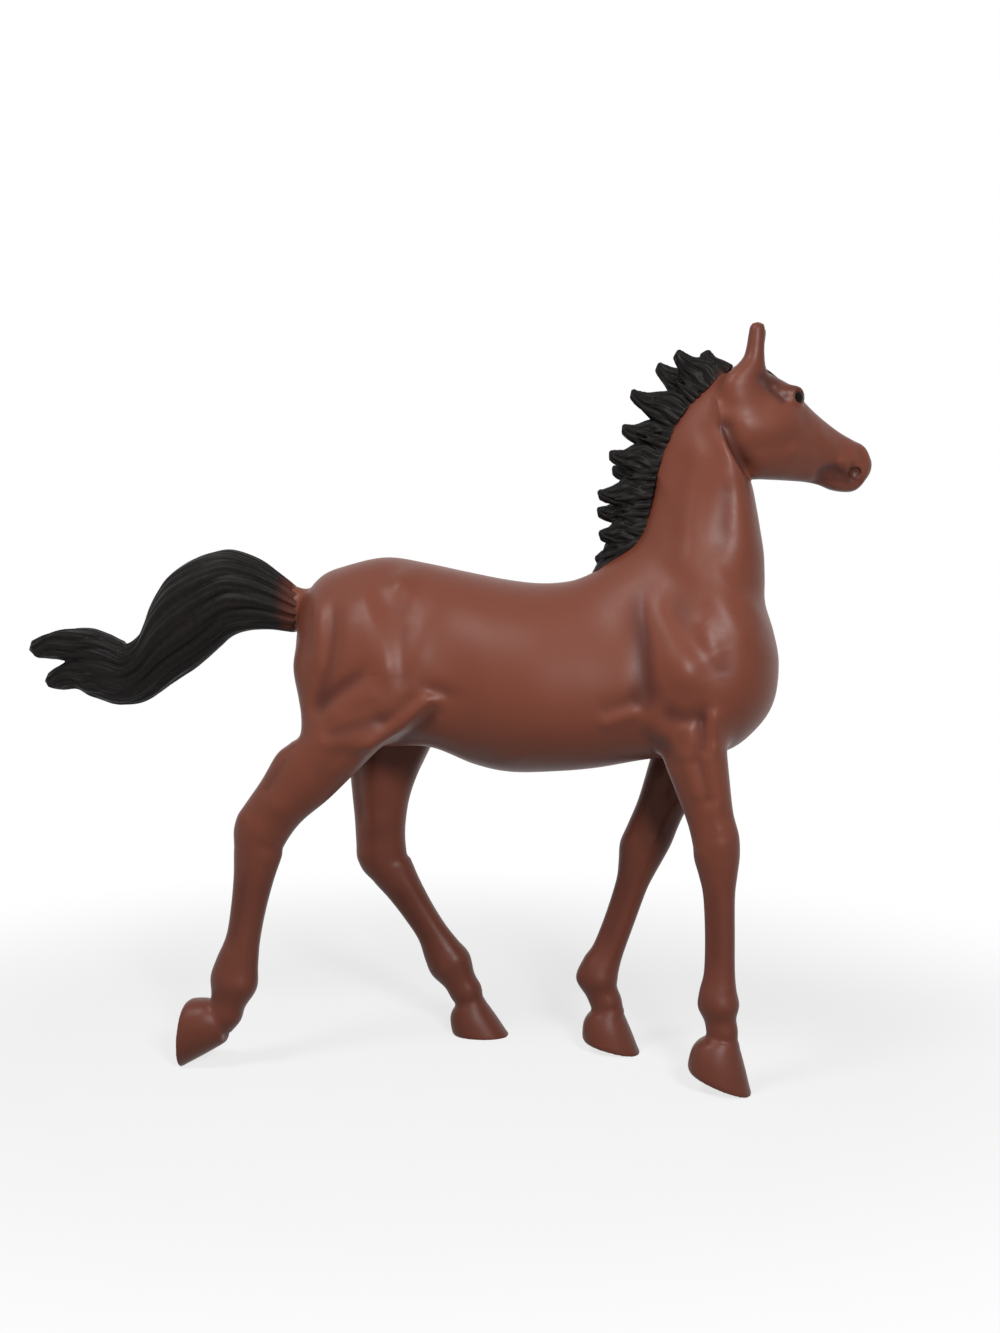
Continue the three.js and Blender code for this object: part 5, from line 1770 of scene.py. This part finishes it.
class HORSE_OT_mane(bpy.types.Operator):
    """Models the mane's locks on their bed along the crest"""
    bl_idname = "horse.mane"
    bl_label = "Mane"

    def execute(self, context):
        body, head, _, hair, looks = settings()
        crest = Crest(body)
        low, high = crest.points.min(0), crest.points.max(0)
        margin = np.array([hair.lock_length * 1.4, 8 * MM, hair.lock_length])
        clay = Clay(low - margin, high + margin, finest(body.fine_cell), HAIR_REACH)
        press_mane(clay, body, hair)
        hair_piece("mane_hair", "mane", clay, body, head, figure_origin(body), hair, looks,
                   lambda points, bare: 0.5 - 0.5 * smooth(bare.read(points) / MANE_FRINGE))
        return {"FINISHED"}


class HORSE_OT_forelock(bpy.types.Operator):
    """Models the short lock between the ears"""
    bl_idname = "horse.forelock"
    bl_label = "Forelock"

    def execute(self, context):
        body, head, _, hair, looks = settings()

        def relief(turn, along):
            ridges = strands(turn, along, *FORELOCK_RIDGES)
            return FORELOCK_HEIGHT * hair.strand_depth * ridges

        shape = moved(lock(head_point(head, *FORELOCK), FORELOCK_HEADING, 0,
                           hair.forelock_length, hair.forelock_depth, hair.forelock_half,
                           relief), head_place(body, head))
        margin = 4 * MM
        low, high = shape[0].min(0) - margin, shape[0].max(0) + margin
        clay = Clay(low, high, finest(body.fine_cell), HAIR_REACH)
        clay.join(shape)
        hair_piece("forelock_hair", "forelock", clay, body, head, figure_origin(body), hair, looks,
                   lambda points, bare: 0.5 - 0.5 * smooth(bare.read(points) / FORELOCK_FRINGE))
        return {"FINISHED"}


class HORSE_OT_tail(bpy.types.Operator):
    """Models the tail with its grooves and its two tips"""
    bl_idname = "horse.tail"
    bl_label = "Tail"

    def execute(self, context):
        body, head, _, hair, looks = settings()
        dock = tail_point(body, hair, 0, 0)
        low, high = dock + np.array(TAIL_LOW) * MM, dock + np.array(TAIL_HIGH) * MM
        clay = Clay(low, high, finest(body.fine_cell), HAIR_REACH)
        press_tail(clay, body, hair)
        hair_piece("tail_hair", "tail", clay, body, head, figure_origin(body), hair, looks,
                   lambda points, bare: 1 - smooth((dock[0] - points[:, 0]) / TAIL_FRINGE))
        return {"FINISHED"}


# Stage

# What the camera looks at, in millimetres from the croup's foot, and how far it is turned
# to the front and raised, in degrees.
LOOK_AT = (51, 0, 101)
CAMERA_TURN, CAMERA_RISE = 11, 6

# The lamps: their place from there and the width of their discs, in millimetres.
FRONT_LAMP = (252, -496, 225), 130
HIGH_LAMP = (-200, -300, 420), 180

# The floor: its radius, its sides, and between which distances from its middle, in metres,
# it turns from this share of plain white to all of it.
FLOOR_RADIUS, FLOOR_SIDES = 3.0, 96
FLOOR_NEAR, FLOOR_FAR, FLOOR_WHITE = 0.1, 0.24, 0.75


class HORSE_OT_stage(bpy.types.Operator):
    """Lays the floor and sets up the lamps, the sky and the camera"""
    bl_idname = "horse.stage"
    bl_label = "Stage"

    def execute(self, context):
        stage = context.scene.horse_stage
        body = context.scene.horse_body
        origin = Vector(figure_origin(body))
        middle = origin + Vector(LOOK_AT) * MM
        self.lay_floor(stage)
        self.set_sky(stage)
        self.hang_lamp("front_lamp", middle, *FRONT_LAMP, stage.lamp)
        self.hang_lamp("high_lamp", middle, *HIGH_LAMP, stage.fill)
        self.place_camera(stage, middle)
        return {"FINISHED"}

    def place_camera(self, stage, middle):
        turn, rise = math.radians(CAMERA_TURN), math.radians(CAMERA_RISE)
        back = Vector((math.sin(turn) * math.cos(rise), -math.cos(turn) * math.cos(rise),
                       math.sin(rise)))
        camera = bpy.data.objects.new("camera", bpy.data.cameras.new("camera"))
        camera.location = middle + back * stage.distance
        camera.rotation_euler = (-back).to_track_quat("-Z", "Y").to_euler()
        camera.data.lens = stage.lens
        camera.data.clip_start, camera.data.clip_end = 0.01, 20
        bpy.context.scene.collection.objects.link(camera)
        bpy.context.scene.camera = camera
        bpy.context.scene.view_settings.view_transform = "Standard"

    def hang_lamp(self, name, middle, place, size, power):
        light = bpy.data.lights.new(name, "AREA")
        light.shape, light.size, light.energy = "DISK", size * MM, power
        lamp = bpy.data.objects.new(name, light)
        lamp.location = middle + Vector(place) * MM
        lamp.rotation_euler = (-Vector(place)).to_track_quat("-Z", "Y").to_euler()
        bpy.context.scene.collection.objects.link(lamp)

    def seen(self, finish):
        """One where a ray comes from the camera, a reflection or a see-through surface."""
        rays = [finish.node("ShaderNodeLightPath", None, None, output=name)
                for name in ("Is Camera Ray", "Is Glossy Ray", "Is Transmission Ray")]
        return rays[0].math("MAXIMUM", rays[1]).math("MAXIMUM", rays[2])

    def lay_floor(self, stage):
        """A wide round floor, pale where it is seen, that turns to plain white far off."""
        turn = np.linspace(0, 2 * np.pi, FLOOR_SIDES, endpoint=False)
        ring = FLOOR_RADIUS * np.stack([np.cos(turn), np.sin(turn), 0 * turn], -1)
        floor = mesh_object("floor", ring, [np.arange(FLOOR_SIDES)[None, :]])
        finish = Finish("pale_floor")
        speck = finish.noise(60)
        seen = self.seen(finish)
        pale = finish.mix(speck * 0.06, stage.floor, stage.floor_below)
        base = finish.mix(seen, stage.floor_below, pale)
        away = finish.node("ShaderNodeVectorMath", {"operation": "LENGTH"}, {0: finish.place},
                           output="Value")
        white = away.between(FLOOR_NEAR, FLOOR_FAR) * (1 - FLOOR_WHITE) + FLOOR_WHITE
        far = white * seen
        lit = finish.node("ShaderNodeBsdfPrincipled", None, {
            "Base Color": base, "Roughness": 0.9, "Specular IOR Level": 0.0}, output="BSDF")
        plain = finish.node("ShaderNodeEmission", None, {"Color": (1, 1, 1, 1), "Strength": 1.0})
        finish.finish(finish.node("ShaderNodeMixShader", None, {0: far, 1: lit, 2: plain}))
        floor.data.materials.append(finish.material)

    def set_sky(self, stage):
        """A sky that is plain white where it is seen and gives a faint light all round."""
        world = bpy.data.worlds.new("studio")
        world.use_nodes = True
        bpy.context.scene.world = world
        nodes, links = world.node_tree.nodes, world.node_tree.links
        nodes.clear()
        path = nodes.new("ShaderNodeLightPath")
        direct, seen = nodes.new("ShaderNodeMath"), nodes.new("ShaderNodeMath")
        direct.operation = seen.operation = "MAXIMUM"
        links.new(path.outputs["Is Camera Ray"], direct.inputs[0])
        links.new(path.outputs["Is Transmission Ray"], direct.inputs[1])
        links.new(direct.outputs[0], seen.inputs[0])
        links.new(path.outputs["Is Glossy Ray"], seen.inputs[1])
        faint, white = nodes.new("ShaderNodeBackground"), nodes.new("ShaderNodeBackground")
        faint.inputs["Strength"].default_value = stage.sky
        white.inputs["Strength"].default_value = 1.0
        for background in (faint, white):
            background.inputs["Color"].default_value = (1, 1, 1, 1)
        mix, out = nodes.new("ShaderNodeMixShader"), nodes.new("ShaderNodeOutputWorld")
        links.new(seen.outputs[0], mix.inputs[0])
        links.new(faint.outputs[0], mix.inputs[1])
        links.new(white.outputs[0], mix.inputs[2])
        links.new(mix.outputs[0], out.inputs["Surface"])


class HORSE_PT_panel(bpy.types.Panel):
    """Lists the horse's pieces in the sidebar"""
    bl_idname = "HORSE_PT_panel"
    bl_label = "Toy Horse"
    bl_space_type = "VIEW_3D"
    bl_region_type = "UI"
    bl_category = "Toy Horse"

    def draw(self, context):
        for operator in OPERATORS:
            self.layout.operator(operator.bl_idname)
        for name in GROUPS:
            group = getattr(context.scene, name)
            box = self.layout.box()
            for key in group.bl_rna.properties.keys():
                if key not in ("rna_type", "name"):
                    box.prop(group, key)


GROUPS = {
    "horse_body": BodySizes, "horse_head": HeadSizes, "horse_legs": LegSizes,
    "horse_hair": HairSizes, "horse_looks": Finishes, "horse_stage": StageSettings,
}
OPERATORS = (HORSE_OT_stage, HORSE_OT_body, HORSE_OT_head, HORSE_OT_eyes, HORSE_OT_mane,
             HORSE_OT_forelock, HORSE_OT_tail)


def register():
    for item in (*GROUPS.values(), *OPERATORS, HORSE_PT_panel):
        bpy.utils.register_class(item)
    for name, group in GROUPS.items():
        setattr(bpy.types.Scene, name, PointerProperty(type=group))


def unregister():
    for name in GROUPS:
        delattr(bpy.types.Scene, name)
    for item in reversed((*GROUPS.values(), *OPERATORS, HORSE_PT_panel)):
        bpy.utils.unregister_class(item)


def main():
    register()
    bpy.ops.horse.stage()
    bpy.ops.horse.body()
    bpy.ops.horse.head()
    bpy.ops.horse.eyes()
    bpy.ops.horse.mane()
    bpy.ops.horse.forelock()
    bpy.ops.horse.tail()


if __name__ == "__main__":
    main()
